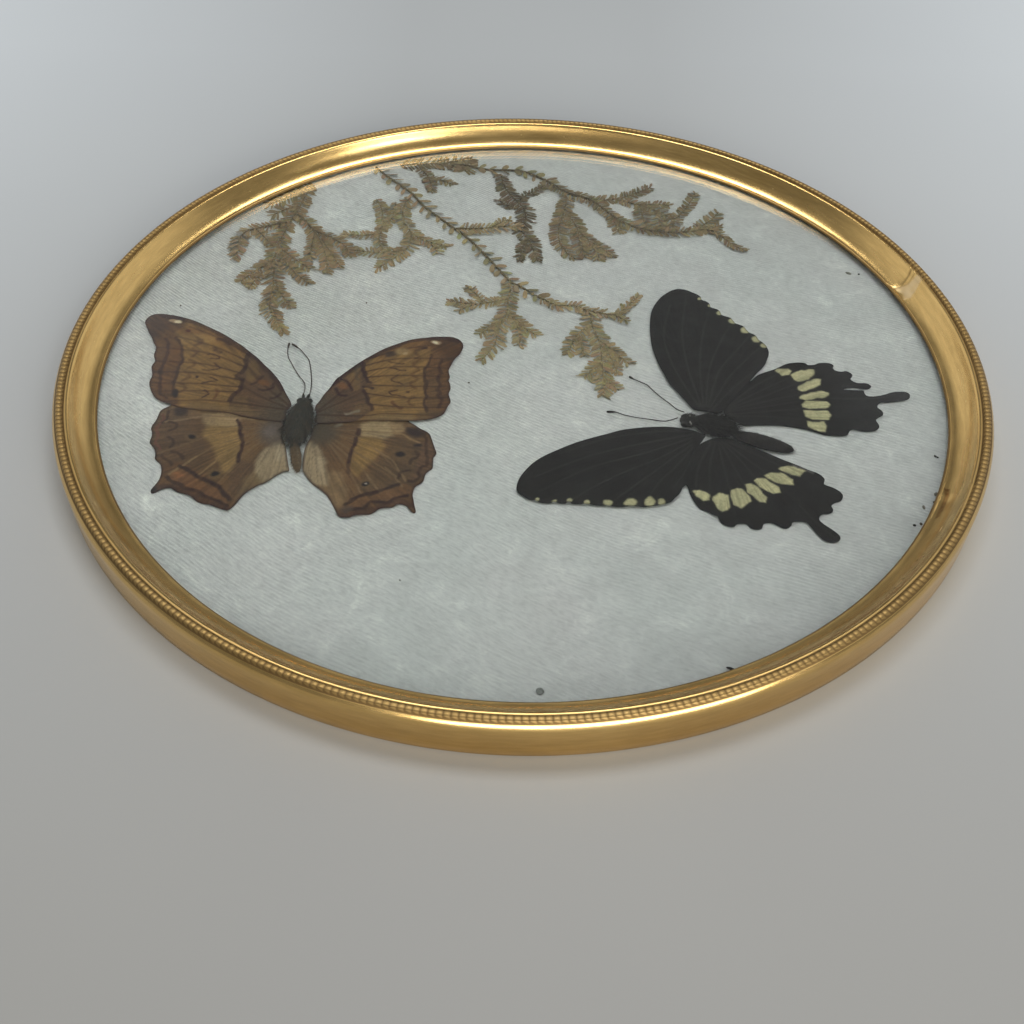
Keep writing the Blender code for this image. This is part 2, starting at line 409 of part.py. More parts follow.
def pocket(name, shape, surface, group):
    """The upright hole in the padding that one lobe of a body sinks into."""
    x, y, half_length, half_width, turn = shape
    depth = CLOTH[0] + CLOTH[1] + 1.0 - POCKET_FLOOR
    work = bmesh.new()
    bmesh.ops.create_cone(work, cap_ends=True, segments=20, radius1=1.0, radius2=1.0, depth=1.0)
    mesh = bpy.data.meshes.new(name)
    work.to_mesh(mesh)
    work.free()
    size = Matrix.Diagonal(((half_length + POCKET_GAP) * MM, (half_width + POCKET_GAP) * MM,
                            depth * MM, 1.0))
    spin = Matrix.Rotation(math.radians(turn), 4, "Z")
    centre = Matrix.Translation((x * MM, y * MM, (POCKET_FLOOR + depth / 2) * MM))
    mesh.transform(centre @ spin @ size)
    obj = place(name, mesh, surface, group)
    hide_as_cutter(obj)
    return obj


def body(name, lobes, surface, group, cutters):
    main = lobe(name, lobes[0], surface, group)
    for i, shape in enumerate(lobes[1:]):
        other = lobe(f"{name}_lobe_{i}", shape, surface, cutters)
        hide_as_cutter(other)
        boolean(main, other, "UNION")
    return main


def feeler(name, points, surface, group):
    """A thin antenna that thickens into a club over its last quarter."""
    curve = bpy.data.curves.new(name, "CURVE")
    curve.dimensions = "3D"
    curve.bevel_depth = FEELER_RADIUS * MM
    curve.bevel_resolution = 1
    curve.use_fill_caps = True
    spline = curve.splines.new("POLY")
    spline.points.add(len(points) - 1)
    for i, (point, (x, y)) in enumerate(zip(spline.points, points)):
        point.co = (x * MM, y * MM, FEELER_LEVEL * MM, 1.0)
        club = max(0.0, i / (len(points) - 1) - 0.75) / 0.25
        point.radius = 1.0 + 0.4 * math.sin(math.pi * min(1.0, club))
    obj = bpy.data.objects.new(name, curve)
    group.objects.link(obj)
    bpy.context.view_layer.update()
    return place(name, as_mesh(obj, name), surface, group)


def frond(name, level, branches, surface, group, cutters):
    """Branches of one sprig, joined into a single flat leafy piece."""
    meshes = [plate_mesh(f"{name}_{i}", leafy_outline(*branch), level, group)
              for i, branch in enumerate(branches)]
    main = place(name, meshes[0], surface, group)
    for i, mesh in enumerate(meshes[1:]):
        other = place(f"{name}_branch_{i}", mesh, surface, cutters)
        hide_as_cutter(other)
        boolean(main, other, "UNION")
    return main


def hanger_outline():
    """A strip with a saw-toothed lower edge."""
    half = HANGER_LENGTH / 2
    low = HANGER_Y - HANGER_WIDTH / 2
    high = HANGER_Y + HANGER_WIDTH / 2
    pitch = 0.6 * HANGER_LENGTH / HANGER_TEETH
    outline = [(half, high - 1.5), (half - 1.5, high), (1.5 - half, high), (-half, high - 1.5),
               (-half, low + 1.5), (1.5 - half, low)]
    for i in range(HANGER_TEETH):
        x = -0.3 * HANGER_LENGTH + i * pitch
        outline += [(x, low), (x + pitch / 2, low + 1.3)]
    return outline + [(0.3 * HANGER_LENGTH, low), (half - 1.5, low), (half, low + 1.5)]


def build_case(group, cutters):
    brass = finish("stamped_brass", (0.62, 0.43, 0.19), 0.28, metallic=1.0)
    turned("rim", rim_profile(), RIM_SEGMENTS, brass, group)
    pane = finish("window_glass", (0.96, 0.98, 0.97), 0.02, transmission=1.0)
    disc("glass", GLASS_RADIUS, GLASS, pane, group)
    satin = finish("pale_satin", (0.55, 0.59, 0.60), 0.45)
    cloth = disc("cloth", CLOTH_RADIUS, CLOTH, satin, group)
    for i, shape in enumerate(BROWN_LOBES + BLACK_LOBES):
        boolean(cloth, pocket(f"pocket_{i}", shape, satin, cutters), "DIFFERENCE")
    card = finish("grey_card", (0.42, 0.36, 0.28), 0.85)
    disc("backing_board", BOARD_RADIUS, BOARD, card, group)
    steel = finish("plated_steel", (0.55, 0.50, 0.38), 0.35, metallic=1.0)
    place("hanger", plate_mesh("hanger", hanger_outline(), HANGER_LEVEL, group), steel, group)


def build_brown_butterfly(group, cutters):
    wing = finish("brown_wing", (0.24, 0.14, 0.07), 0.7)
    hair = finish("brown_body_hair", (0.07, 0.06, 0.05), 0.85)
    for name, outline, level in (("brown_left_forewing", BROWN_LEFT_FOREWING, MID_LEAF),
                                 ("brown_right_forewing", BROWN_RIGHT_FOREWING, MID_LEAF),
                                 ("brown_left_hindwing", BROWN_LEFT_HINDWING, LOW_LEAF),
                                 ("brown_right_hindwing", BROWN_RIGHT_HINDWING, LOW_LEAF)):
        place(name, plate_mesh(name, outline, level, group), wing, group)
    body("brown_body", BROWN_LOBES, hair, group, cutters)
    for side, points in zip(("left", "right"), BROWN_FEELERS):
        feeler(f"brown_{side}_antenna", points, hair, group)


def build_black_butterfly(group, cutters):
    wing = finish("black_wing", (0.012, 0.011, 0.012), 0.6)
    hair = finish("black_body_hair", (0.012, 0.012, 0.014), 0.8)
    for name, outline, level in (("black_upper_forewing", BLACK_UPPER_FOREWING, MID_LEAF),
                                 ("black_lower_forewing", BLACK_LOWER_FOREWING, MID_LEAF),
                                 ("black_upper_hindwing", BLACK_UPPER_HINDWING, LOW_LEAF),
                                 ("black_lower_hindwing", BLACK_LOWER_HINDWING, LOW_LEAF)):
        place(name, plate_mesh(name, outline, level, group), wing, group)
    body("black_body", BLACK_LOBES, hair, group, cutters)
    for side, points in zip(("upper", "lower"), BLACK_FEELERS):
        feeler(f"black_{side}_antenna", points, hair, group)


def build_fern(group, cutters):
    leaf = finish("dried_fern", (0.19, 0.16, 0.10), 0.8)
    for name, (level, branches) in FERN.items():
        frond(name, level, branches, leaf, group, cutters)


def main():
    clear_scene()
    group = new_collection("framed_butterflies")
    cutters = new_collection("cutters")
    build_case(group, cutters)
    build_brown_butterfly(group, cutters)
    build_black_butterfly(group, cutters)
    build_fern(group, cutters)


main()
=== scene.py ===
import math

import bpy
import numpy as np
from mathutils import Matrix, Vector


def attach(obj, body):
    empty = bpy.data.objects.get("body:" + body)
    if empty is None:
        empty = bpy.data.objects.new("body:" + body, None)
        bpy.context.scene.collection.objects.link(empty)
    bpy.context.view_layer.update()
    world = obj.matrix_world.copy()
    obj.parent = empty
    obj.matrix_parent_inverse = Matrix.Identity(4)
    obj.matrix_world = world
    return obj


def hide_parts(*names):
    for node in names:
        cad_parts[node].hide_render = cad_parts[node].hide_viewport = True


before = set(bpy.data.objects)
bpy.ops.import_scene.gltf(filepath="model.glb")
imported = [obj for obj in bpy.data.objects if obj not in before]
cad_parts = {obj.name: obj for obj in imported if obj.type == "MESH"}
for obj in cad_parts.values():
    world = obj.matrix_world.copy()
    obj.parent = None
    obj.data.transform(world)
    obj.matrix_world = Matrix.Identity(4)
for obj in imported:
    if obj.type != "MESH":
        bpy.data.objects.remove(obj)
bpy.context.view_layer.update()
print("case and specimens loaded")

mm = 0.001
fullTurn = 2 * math.pi


# Small tools used on every piece
def letGo():
    if bpy.context.object and bpy.context.object.mode != "OBJECT":
        bpy.ops.object.mode_set(mode="OBJECT")
    bpy.ops.object.select_all(action="DESELECT")


def takeHold(piece):
    letGo()
    piece.select_set(True)
    bpy.context.view_layer.objects.active = piece


def editMode(piece, kind="VERT"):
    takeHold(piece)
    bpy.ops.object.mode_set(mode="EDIT")
    bpy.ops.mesh.select_mode(type=kind)
    bpy.ops.mesh.select_all(action="DESELECT")


def objectMode():
    bpy.ops.object.mode_set(mode="OBJECT")


def settle(piece):  # the place goes into the mesh
    takeHold(piece)
    bpy.ops.object.transform_apply(location=True, rotation=True, scale=True)


def applyModifier(piece, kind, **values):
    takeHold(piece)
    modifier = piece.modifiers.new(kind.title(), kind)
    for name, value in values.items():
        setattr(modifier, name, value)
    bpy.ops.object.modifier_apply(modifier=modifier.name)


def readPlaces(piece):  # in millimetres
    places = np.empty(len(piece.data.vertices) * 3)
    piece.data.vertices.foreach_get("co", places)
    return places.reshape(-1, 3) / mm


def writePlaces(piece, places):
    piece.data.vertices.foreach_set("co", (places * mm).ravel())
    piece.data.update()


def paintLayer(piece, layerName, colours):
    layer = piece.data.attributes.new(layerName, "FLOAT_COLOR", "POINT")
    rgba = np.ones((len(colours), 4), np.float32)
    rgba[:, :3] = colours
    layer.data.foreach_set("color", rgba.ravel())


def selectWhere(piece, kind, chosen):  # chosen is one True or False for each vertex, edge or face
    parts = {"VERT": piece.data.vertices, "EDGE": piece.data.edges, "FACE": piece.data.polygons}[kind]
    parts.foreach_set("select", chosen)


def faceMiddles(piece):
    middles = np.empty(len(piece.data.polygons) * 3)
    piece.data.polygons.foreach_get("center", middles)
    return middles.reshape(-1, 3) / mm


def dress(piece, name, slot, finish, *stoodFor):
    piece.name = name
    piece.data.name = name
    piece.data.materials.clear()
    piece.data.materials.append(finish)
    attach(piece, "root")
    if stoodFor:
        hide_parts(*stoodFor)


# Camera at the photograph's height and angle
cameraSetup = {
    "place": (0.0, -0.200271, 0.163802),
    "right": (0.99962044, 0.02395936, 0.01359861),
    "up": (-0.02674897, 0.72596934, 0.68720667),
    "back": (0.00659286, -0.68730958, 0.72633468),
    "lens": 39.375,
    "sensor": 36.0,
}


def makeCamera():
    bpy.ops.object.camera_add(location=cameraSetup["place"])
    camera = bpy.context.object
    turn = Matrix((cameraSetup["right"], cameraSetup["up"], cameraSetup["back"])).transposed()
    camera.rotation_euler = turn.to_euler()
    camera.data.lens = cameraSetup["lens"]
    camera.data.sensor_width = cameraSetup["sensor"]
    camera.data.clip_start = 0.005
    bpy.context.scene.camera = camera


# Material building blocks
def newFinish(name, roughness, metallic=0.0):
    finish = bpy.data.materials.new(name)
    finish.use_nodes = True
    shader = finish.node_tree.nodes["Principled BSDF"]
    shader.inputs["Roughness"].default_value = roughness
    shader.inputs["Metallic"].default_value = metallic
    return finish, finish.node_tree, shader


def addNode(tree, kind, inputs=None, **settings):
    node = tree.nodes.new("ShaderNode" + kind)
    for name, value in settings.items():
        setattr(node, name, value)
    for name, value in (inputs or {}).items():
        if isinstance(value, bpy.types.NodeSocket):
            tree.links.new(value, node.inputs[name])
        else:
            node.inputs[name].default_value = value
    return node


def objectPlaces(tree, scale=(1, 1, 1), turn=0.0):
    coordinates = addNode(tree, "TexCoord")
    mapping = addNode(tree, "Mapping", {"Vector": coordinates.outputs["Object"], "Scale": scale,
                                        "Rotation": (0, 0, turn)})
    return mapping.outputs["Vector"]


def noise(tree, where, scale, detail=3.0, roughness=0.5, distortion=0.0):
    node = addNode(tree, "TexNoise", {"Vector": where, "Scale": scale, "Detail": detail,
                                      "Roughness": roughness, "Distortion": distortion})
    return node.outputs["Fac"]


def ramp(tree, source, stops):
    node = addNode(tree, "ValToRGB", {"Fac": source})
    band = node.color_ramp
    while len(band.elements) < len(stops):
        band.elements.new(0.5)
    for element, (position, colour) in zip(band.elements, stops):
        element.position = position
        element.color = (*colour, 1.0) if len(colour) == 3 else colour
    return node.outputs["Color"]


def mapRange(tree, source, low, high, newLow, newHigh):
    node = addNode(tree, "MapRange", {"Value": source, "From Min": low, "From Max": high,
                                      "To Min": newLow, "To Max": newHigh})
    return node.outputs["Result"]


def mixColour(tree, factor, first, second, blend="MIX"):
    node = addNode(tree, "Mix", data_type="RGBA", blend_type=blend)
    for socket, value in ((node.inputs[0], factor), (node.inputs[6], first), (node.inputs[7], second)):
        if isinstance(value, bpy.types.NodeSocket):
            tree.links.new(value, socket)
        elif isinstance(value, (int, float)):
            socket.default_value = value
        else:
            socket.default_value = (*value, 1.0)
    return node.outputs[2]


def mathNode(tree, operation, first, second=0.0):
    node = addNode(tree, "Math", operation=operation)
    for socket, value in zip(node.inputs, (first, second)):
        if isinstance(value, bpy.types.NodeSocket):
            tree.links.new(value, socket)
        else:
            socket.default_value = value
    return node.outputs[0]


def bump(tree, shader, height, strength, distance, before=None):
    node = addNode(tree, "Bump", {"Height": height, "Strength": strength, "Distance": distance})
    if before is not None:
        tree.links.new(before, node.inputs["Normal"])
    tree.links.new(node.outputs["Normal"], shader.inputs["Normal"])
    return node.outputs["Normal"]


# Floor and light
stageSetup = {
    "floorSize": 6.0,
    # painted light and shade on the table: darker near the front, lighter far off, lighter still at the far
    # corners
    "nearShadeTone": (0.286, 0.282, 0.269),
    "farLightTone": (0.395, 0.41, 0.415),
    "cornerLightTone": (0.55, 0.58, 0.60),
    "skyTone": (0.20, 0.204, 0.206),
    "sides": [((-0.74, 0.62, 0.22), 3.6), ((0.74, 0.62, 0.22), 3.4)],  # bright walls, seen in the cove
    "backDim": 0.75,            # the dark end of the room, seen in the pane
    "lamps": {                  # place, size, power, tone
        "ceiling": ((0.0, 0.46, 1.25), (0.9, 0.36), 8.8, (0.985, 0.995, 1.0)),
        "front_window": ((0.65, -0.7, 0.86), (0.42, 0.3), 3.4, (0.95, 0.98, 1.0)),
        "low_window": ((0.34, -1.2, 0.4), (1.6, 0.56), 21.0, (1.0, 0.975, 0.92)),
    },
}


def makeFloor():
    letGo()
    bpy.ops.mesh.primitive_plane_add(size=stageSetup["floorSize"], location=(0, 0, 0))
    floor = bpy.context.object
    floor.name = "table_top"
    finish, tree, shader = newFinish("table_lacquer", 0.55)
    where = objectPlaces(tree)
    split = addNode(tree, "SeparateXYZ", {"Vector": where})
    away = mapRange(tree, split.outputs["Y"], -0.15, 0.16, 0.0, 1.0)
    aside = mapRange(tree, mathNode(tree, "ABSOLUTE", split.outputs["X"]), 0.04, 0.19, 0.0, 1.0)
    mottled = noise(tree, where, 9.0, 4.0)
    # painted light and shade: the table's tone runs from dark at the front to light far off and at the far
    # corners
    ground = mixColour(tree, away, stageSetup["nearShadeTone"], stageSetup["farLightTone"])
    ground = mixColour(tree, mathNode(tree, "MULTIPLY", away, aside), ground, stageSetup["cornerLightTone"])
    soft = ramp(tree, mottled, [(0.3, (0.975, 0.975, 0.98)), (0.7, (1.0, 1.0, 1.0))])
    tree.links.new(mixColour(tree, 1.0, ground, soft, "MULTIPLY"), shader.inputs["Base Color"])
    shader.inputs["Specular IOR Level"].default_value = 0.25
    floor.data.materials.append(finish)


def makeWorld():
    world = bpy.data.worlds.new("soft_room")
    bpy.context.scene.world = world
    world.use_nodes = True
    tree = world.node_tree
    background = tree.nodes["Background"]
    direction = addNode(tree, "TexCoord").outputs["Generated"]
    level = 1.0
    for aim, share in stageSetup["sides"]:
        facing = addNode(tree, "VectorMath", {"Vector": direction}, operation="DOT_PRODUCT")
        facing.inputs[1].default_value = Vector(aim).normalized()
        lit = mapRange(tree, facing.outputs["Value"], 0.79, 0.9, 0.0, share - 1)
        level = mathNode(tree, "ADD", level, lit)
    facing = addNode(tree, "VectorMath", {"Vector": direction}, operation="DOT_PRODUCT")
    facing.inputs[1].default_value = Vector((0.0, 0.73, 0.69)).normalized()
    dim = mapRange(tree, facing.outputs["Value"], 0.86, 0.96, 1.0, stageSetup["backDim"])
    level = mathNode(tree, "MULTIPLY", level, dim)
    sky = mixColour(tree, 1.0, stageSetup["skyTone"], level, "MULTIPLY")
    tree.links.new(sky, background.inputs["Color"])


def addWindow(name, place, size, power, tone):
    bpy.ops.object.light_add(type="AREA", location=place)
    lamp = bpy.context.object
    lamp.name = name
    lamp.data.shape = "RECTANGLE"
    lamp.data.size, lamp.data.size_y = size
    lamp.data.energy = power
    lamp.data.color = tone
    lamp.rotation_euler = (-Vector(place)).to_track_quat("-Z", "Y").to_euler()


def makeLights():
    for name, lamp in stageSetup["lamps"].items():
        addWindow(name, *lamp)


makeCamera()
makeFloor()
makeWorld()
makeLights()
bpy.context.scene.view_settings.view_transform = "Standard"
print("camera, table and light set")

# Stamped brass rim, turned from one ring as a smith spins sheet
rimSizes = {
    "beads": 492,               # milled domes round the edge, one for each segment
    "beadCuts": 3,
    "beadMiddle": 99.87,
    "beadHalf": 0.56,
    "beadFoot": 9.08,
    "beadRise": 0.2,
    "wall": [(99.3, 0.36), (99.3, 0.05), (99.5, 0.0), (100.9, 0.0), (101.35, 0.1), (101.5, 0.4),
             (101.5, 2.2), (101.5, 4.4), (101.5, 6.2), (101.5, 7.35), (101.42, 7.85),
             (101.22, 8.3), (100.98, 8.62), (100.78, 8.8)],
    "cove": [(98.98, 8.62), (98.8, 8.68), (98.45, 8.7), (98.2, 8.52), (97.95, 8.1), (97.6, 7.45),
             (97.2, 6.8), (96.7, 6.15), (96.1, 5.55), (95.5, 5.08), (94.95, 4.72), (94.45, 4.46),
             (94.15, 4.36), (93.85, 4.37), (93.6, 4.3), (93.4, 4.14), (93.3, 3.95), (93.4, 3.82)],
    "back": [(94.4, 3.95), (95.5, 4.5), (96.8, 5.75), (97.6, 7.0), (98.1, 8.05), (99.0, 8.2),
             (100.3, 8.4), (100.9, 7.95), (101.05, 7.3), (101.05, 3.8), (101.05, 0.5), (100.9, 0.42)],
}
rimDamageAndShade = {
    "dent": ((91.9, 28.0), 3.4, 0.2),             # middle, reach, depth
    "crease": [(88.4, 31.0), (89.5, 29.2), (91.0, 28.7), (92.8, 30.2), (94.6, 33.4)],
    "spur": [(91.2, 28.8), (92.6, 28.4), (94.8, 30.4)],
    "rubbed": [(89.4, 29.6), (92.3, 28.3), (95.9, 28.9), (94.6, 26.6), (92.6, 24.2), (91.2, 24.3),
               (91.3, 26.2)],
    "nick": [(85.4, -39.5), (84.9, -42.0), (83.6, -44.6), (82.2, -47.0), (81.4, -48.4),
             (82.2, -48.2), (84.0, -45.4), (85.6, -42.4), (86.2, -40.4)],
    "nickMiddle": ((84.0, -44.0), 3.2, 0.22),
    "lipNotches": [((-75.0, -56.2), 0.7), ((-85.3, -38.6), 0.45), ((90.3, 24.0), 0.5),
                   ((37.0, -85.9), 0.5), ((52.4, 77.3), 0.4)],
    "finest": 4,                                   # cuts of the faces round the damage
    "creaseDepth": 0.07,
    "rubbedShare": 0.3,
    # how dark each mark is painted; on the milled beads, in their valleys and at the lip's hem it is painted
    # shade in part or in whole
    "darkening": {"crease": 0.5, "beads": 0.58, "valleyDirtAndShade": 0.32, "hem": 0.8, "seam": 0.16, "edge": 0.6},
}
beadRings = [rimSizes["beadMiddle"] + rimSizes["beadHalf"] * share
             for share in (1.0, 0.85, 0.5, 0.17, -0.17, -0.5, -0.85, -1.0)]


def measureToLine(spots, line, closed=False):  # distance, and the share of the line passed there
    points = list(line) + ([line[0]] if closed else [])
    nearest = np.full(len(spots), 1e9)
    passed = np.zeros(len(spots))
    for i, (start, end) in enumerate(zip(points, points[1:])):
        start, run = np.array(start), np.array(end) - np.array(start)
        share = np.clip(((spots - start) @ run) / max(run @ run, 1e-9), 0, 1)
        gap = np.hypot(*(spots - start - share[:, None] * run).T)
        closer = gap < nearest
        nearest[closer] = gap[closer]
        passed[closer] = (i + share[closer]) / (len(points) - 1)
    return nearest, passed


def insideOutline(spots, outline):
    inside = np.zeros(len(spots), bool)
    for (x0, y0), (x1, y1) in zip(outline, outline[1:] + outline[:1]):
        if y0 == y1:
            continue
        crosses = (y0 > spots[:, 1]) != (y1 > spots[:, 1])
        inside ^= crosses & (spots[:, 0] < x0 + (spots[:, 1] - y0) * (x1 - x0) / (y1 - y0))
    return inside


def fade(gap, width):  # 1 at no gap, 0 from width on
    share = np.clip(1 - gap / width, 0, 1)
    return share * share * (3 - 2 * share)


def coverOutline(spots, outline, soft):
    gap, _ = measureToLine(spots, outline, closed=True)
    signed = np.where(insideOutline(spots, outline), gap, -gap)
    share = np.clip(0.5 + signed / soft, 0, 1)
    return share * share * (3 - 2 * share)


def latticeNoise(spots, size, seed):  # smooth values from 0 to 1
    table = np.random.default_rng(seed).random((64, 64))
    cell = np.floor(spots / size).astype(int)
    share = spots / size - cell
    share = share * share * (3 - 2 * share)
    x0, y0 = cell[:, 0] % 64, cell[:, 1] % 64
    x1, y1 = (x0 + 1) % 64, (y0 + 1) % 64
    low = table[x0, y0] * (1 - share[:, 0]) + table[x1, y0] * share[:, 0]
    high = table[x0, y1] * (1 - share[:, 0]) + table[x1, y1] * share[:, 0]
    return low * (1 - share[:, 1]) + high * share[:, 1]


def ringPlaces(tree, alongScale):  # radius, height and a little of the angle: streaks that follow the ring
    where = objectPlaces(tree)
    split = addNode(tree, "SeparateXYZ", {"Vector": where})
    flat = addNode(tree, "CombineXYZ", {"X": split.outputs["X"], "Y": split.outputs["Y"]})
    radius = addNode(tree, "VectorMath", {"Vector": flat.outputs["Vector"]}, operation="LENGTH")
    angle = mathNode(tree, "ARCTAN2", split.outputs["Y"], split.outputs["X"])
    along = mathNode(tree, "MULTIPLY", mathNode(tree, "ABSOLUTE", angle), alongScale)
    joined = addNode(tree, "CombineXYZ", {"X": radius.outputs["Value"], "Y": split.outputs["Z"], "Z": along})
    return joined.outputs["Vector"]


def brassFinish():
    finish, tree, shader = newFinish("lacquered_brass", 0.3, 1.0)
    where = objectPlaces(tree)
    wearAndShade = addNode(tree, "Attribute", attribute_name="wearAndShade").outputs["Color"]
    marks = addNode(tree, "SeparateColor", {"Color": wearAndShade})
    cloudy = noise(tree, where, 38.0, 3.0, 0.55)
    brushed = noise(tree, ringPlaces(tree, 0.012), 1500.0, 3.0, 0.6)
    tone = ramp(tree, cloudy, [(0.3, (0.72, 0.475, 0.175)), (0.7, (0.81, 0.55, 0.215))])
    lines = ramp(tree, brushed, [(0.3, (0.88, 0.87, 0.85)), (0.7, (1.06, 1.06, 1.06))])
    tone = mixColour(tree, 1.0, tone, lines, "MULTIPLY")
    pits = noise(tree, where, 1300.0, 2.0, 0.5)
    darkening = ramp(tree, pits, [(0.22, (0.55, 0.45, 0.34)), (0.27, (1, 1, 1))])
    tone = mixColour(tree, 0.3, tone, darkening, "MULTIPLY")
    tone = mixColour(tree, marks.outputs["Red"], tone, (0.86, 0.80, 0.66))
    # green darkens the brass: tarnish and dirt, and painted shade on the milling and under the lip
    tone = mixColour(tree, marks.outputs["Green"], tone, (0.10, 0.06, 0.025))
    tone = mixColour(tree, marks.outputs["Blue"], tone, (0.36, 0.17, 0.05))
    tree.links.new(tone, shader.inputs["Base Color"])
    smear = noise(tree, ringPlaces(tree, 0.03), 260.0, 4.0, 0.6)
    gloss = mapRange(tree, smear, 0.3, 0.7, 0.20, 0.27)
    rough = mathNode(tree, "ADD", gloss, mathNode(tree, "MULTIPLY", marks.outputs["Red"], 0.25))
    rough = mathNode(tree, "ADD", rough, mathNode(tree, "MULTIPLY", marks.outputs["Green"], 0.4))
    tree.links.new(rough, shader.inputs["Roughness"])
    bump(tree, shader, brushed, 0.18, 0.00003)
    return finish


def makeRim():
    segments = rimSizes["beads"]
    rings = rimSizes["wall"] + [(radius, rimSizes["beadFoot"]) for radius in beadRings]
    rings += rimSizes["cove"] + rimSizes["back"]
    letGo()
    first = rings[0]
    bpy.ops.mesh.primitive_circle_add(vertices=segments, radius=first[0] * mm,
                                      location=(0, 0, first[1] * mm))
    rim = bpy.context.object
    settle(rim)
    editMode(rim)
    bpy.ops.mesh.select_all(action="SELECT")
    for before, here in zip(rings, rings[1:]):
        bpy.ops.mesh.extrude_edges_move()
        grow = here[0] / before[0]
        bpy.ops.transform.resize(value=(grow, grow, 1), center_override=(0, 0, 0))
        bpy.ops.transform.translate(value=(0, 0, (here[1] - before[1]) * mm))
    bpy.ops.mesh.select_all(action="SELECT")
    bpy.ops.mesh.region_to_loop()
    bpy.ops.mesh.bridge_edge_loops()
    objectMode()
    cutBeadEdges(rim)
    refineDamage(rim)
    editMode(rim)
    bpy.ops.mesh.select_all(action="SELECT")
    bpy.ops.mesh.normals_make_consistent(inside=False)
    objectMode()
    millBeads(rim)
    damageAndShadeRim(rim)
    takeHold(rim)
    bpy.ops.object.shade_smooth_by_angle(angle=math.radians(65))
    dress(rim, "rim_stamping", "stamped_brass", brassFinish(), "rim")


def cutBeadEdges(rim):
    places = readPlaces(rim)
    radius = np.hypot(places[:, 0], places[:, 1])
    inBand = (np.abs(radius - rimSizes["beadMiddle"]) < rimSizes["beadHalf"] + 0.01)
    inBand &= np.abs(places[:, 2] - rimSizes["beadFoot"]) < 0.01
    ends = np.empty(len(rim.data.edges) * 2, int)
    rim.data.edges.foreach_get("vertices", ends)
    ends = ends.reshape(-1, 2)
    along = np.abs(radius[ends[:, 0]] - radius[ends[:, 1]]) < 0.001
    chosen = inBand[ends[:, 0]] & inBand[ends[:, 1]] & along
    editMode(rim, "EDGE")
    objectMode()
    selectWhere(rim, "EDGE", chosen)
    bpy.ops.object.mode_set(mode="EDIT")
    bpy.ops.mesh.subdivide(number_cuts=rimSizes["beadCuts"])
    objectMode()


def refineDamage(rim):
    middles = faceMiddles(rim)
    onFace = (middles[:, 2] > 3.85) & (np.hypot(middles[:, 0], middles[:, 1]) < 98.9)
    near = np.zeros(len(middles), bool)
    for (x, y), reach, _ in (rimDamageAndShade["dent"], rimDamageAndShade["nickMiddle"]):
        near |= np.hypot(middles[:, 0] - x, middles[:, 1] - y) < reach + 2.2
    editMode(rim, "FACE")
    objectMode()
    selectWhere(rim, "FACE", onFace & near)
    bpy.ops.object.mode_set(mode="EDIT")
    bpy.ops.mesh.subdivide(number_cuts=rimDamageAndShade["finest"])
    objectMode()


def millBeads(rim):
    places = readPlaces(rim)
    radius = np.hypot(places[:, 0], places[:, 1])
    turn = np.arctan2(places[:, 0], places[:, 1]) / fullTurn * rimSizes["beads"]
    across = (radius - rimSizes["beadMiddle"]) / rimSizes["beadHalf"]
    band = (np.abs(across) < 1.01) & (np.abs(places[:, 2] - rimSizes["beadFoot"]) < 0.01)
    dome = np.sqrt(np.clip(1 - across ** 2, 0, 1))
    ripple = 0.45 + 0.55 * np.abs(np.sin(math.pi * turn)) ** 0.8
    places[band, 2] += (rimSizes["beadRise"] * dome * ripple)[band]
    shoulder = (radius > 100.7) & (radius < 101.3) & (places[:, 2] > 8.2)   # the milling bites its edge
    places[shoulder, 2] -= 0.07 * (1 - np.abs(np.sin(math.pi * turn[shoulder])))
    writePlaces(rim, places)


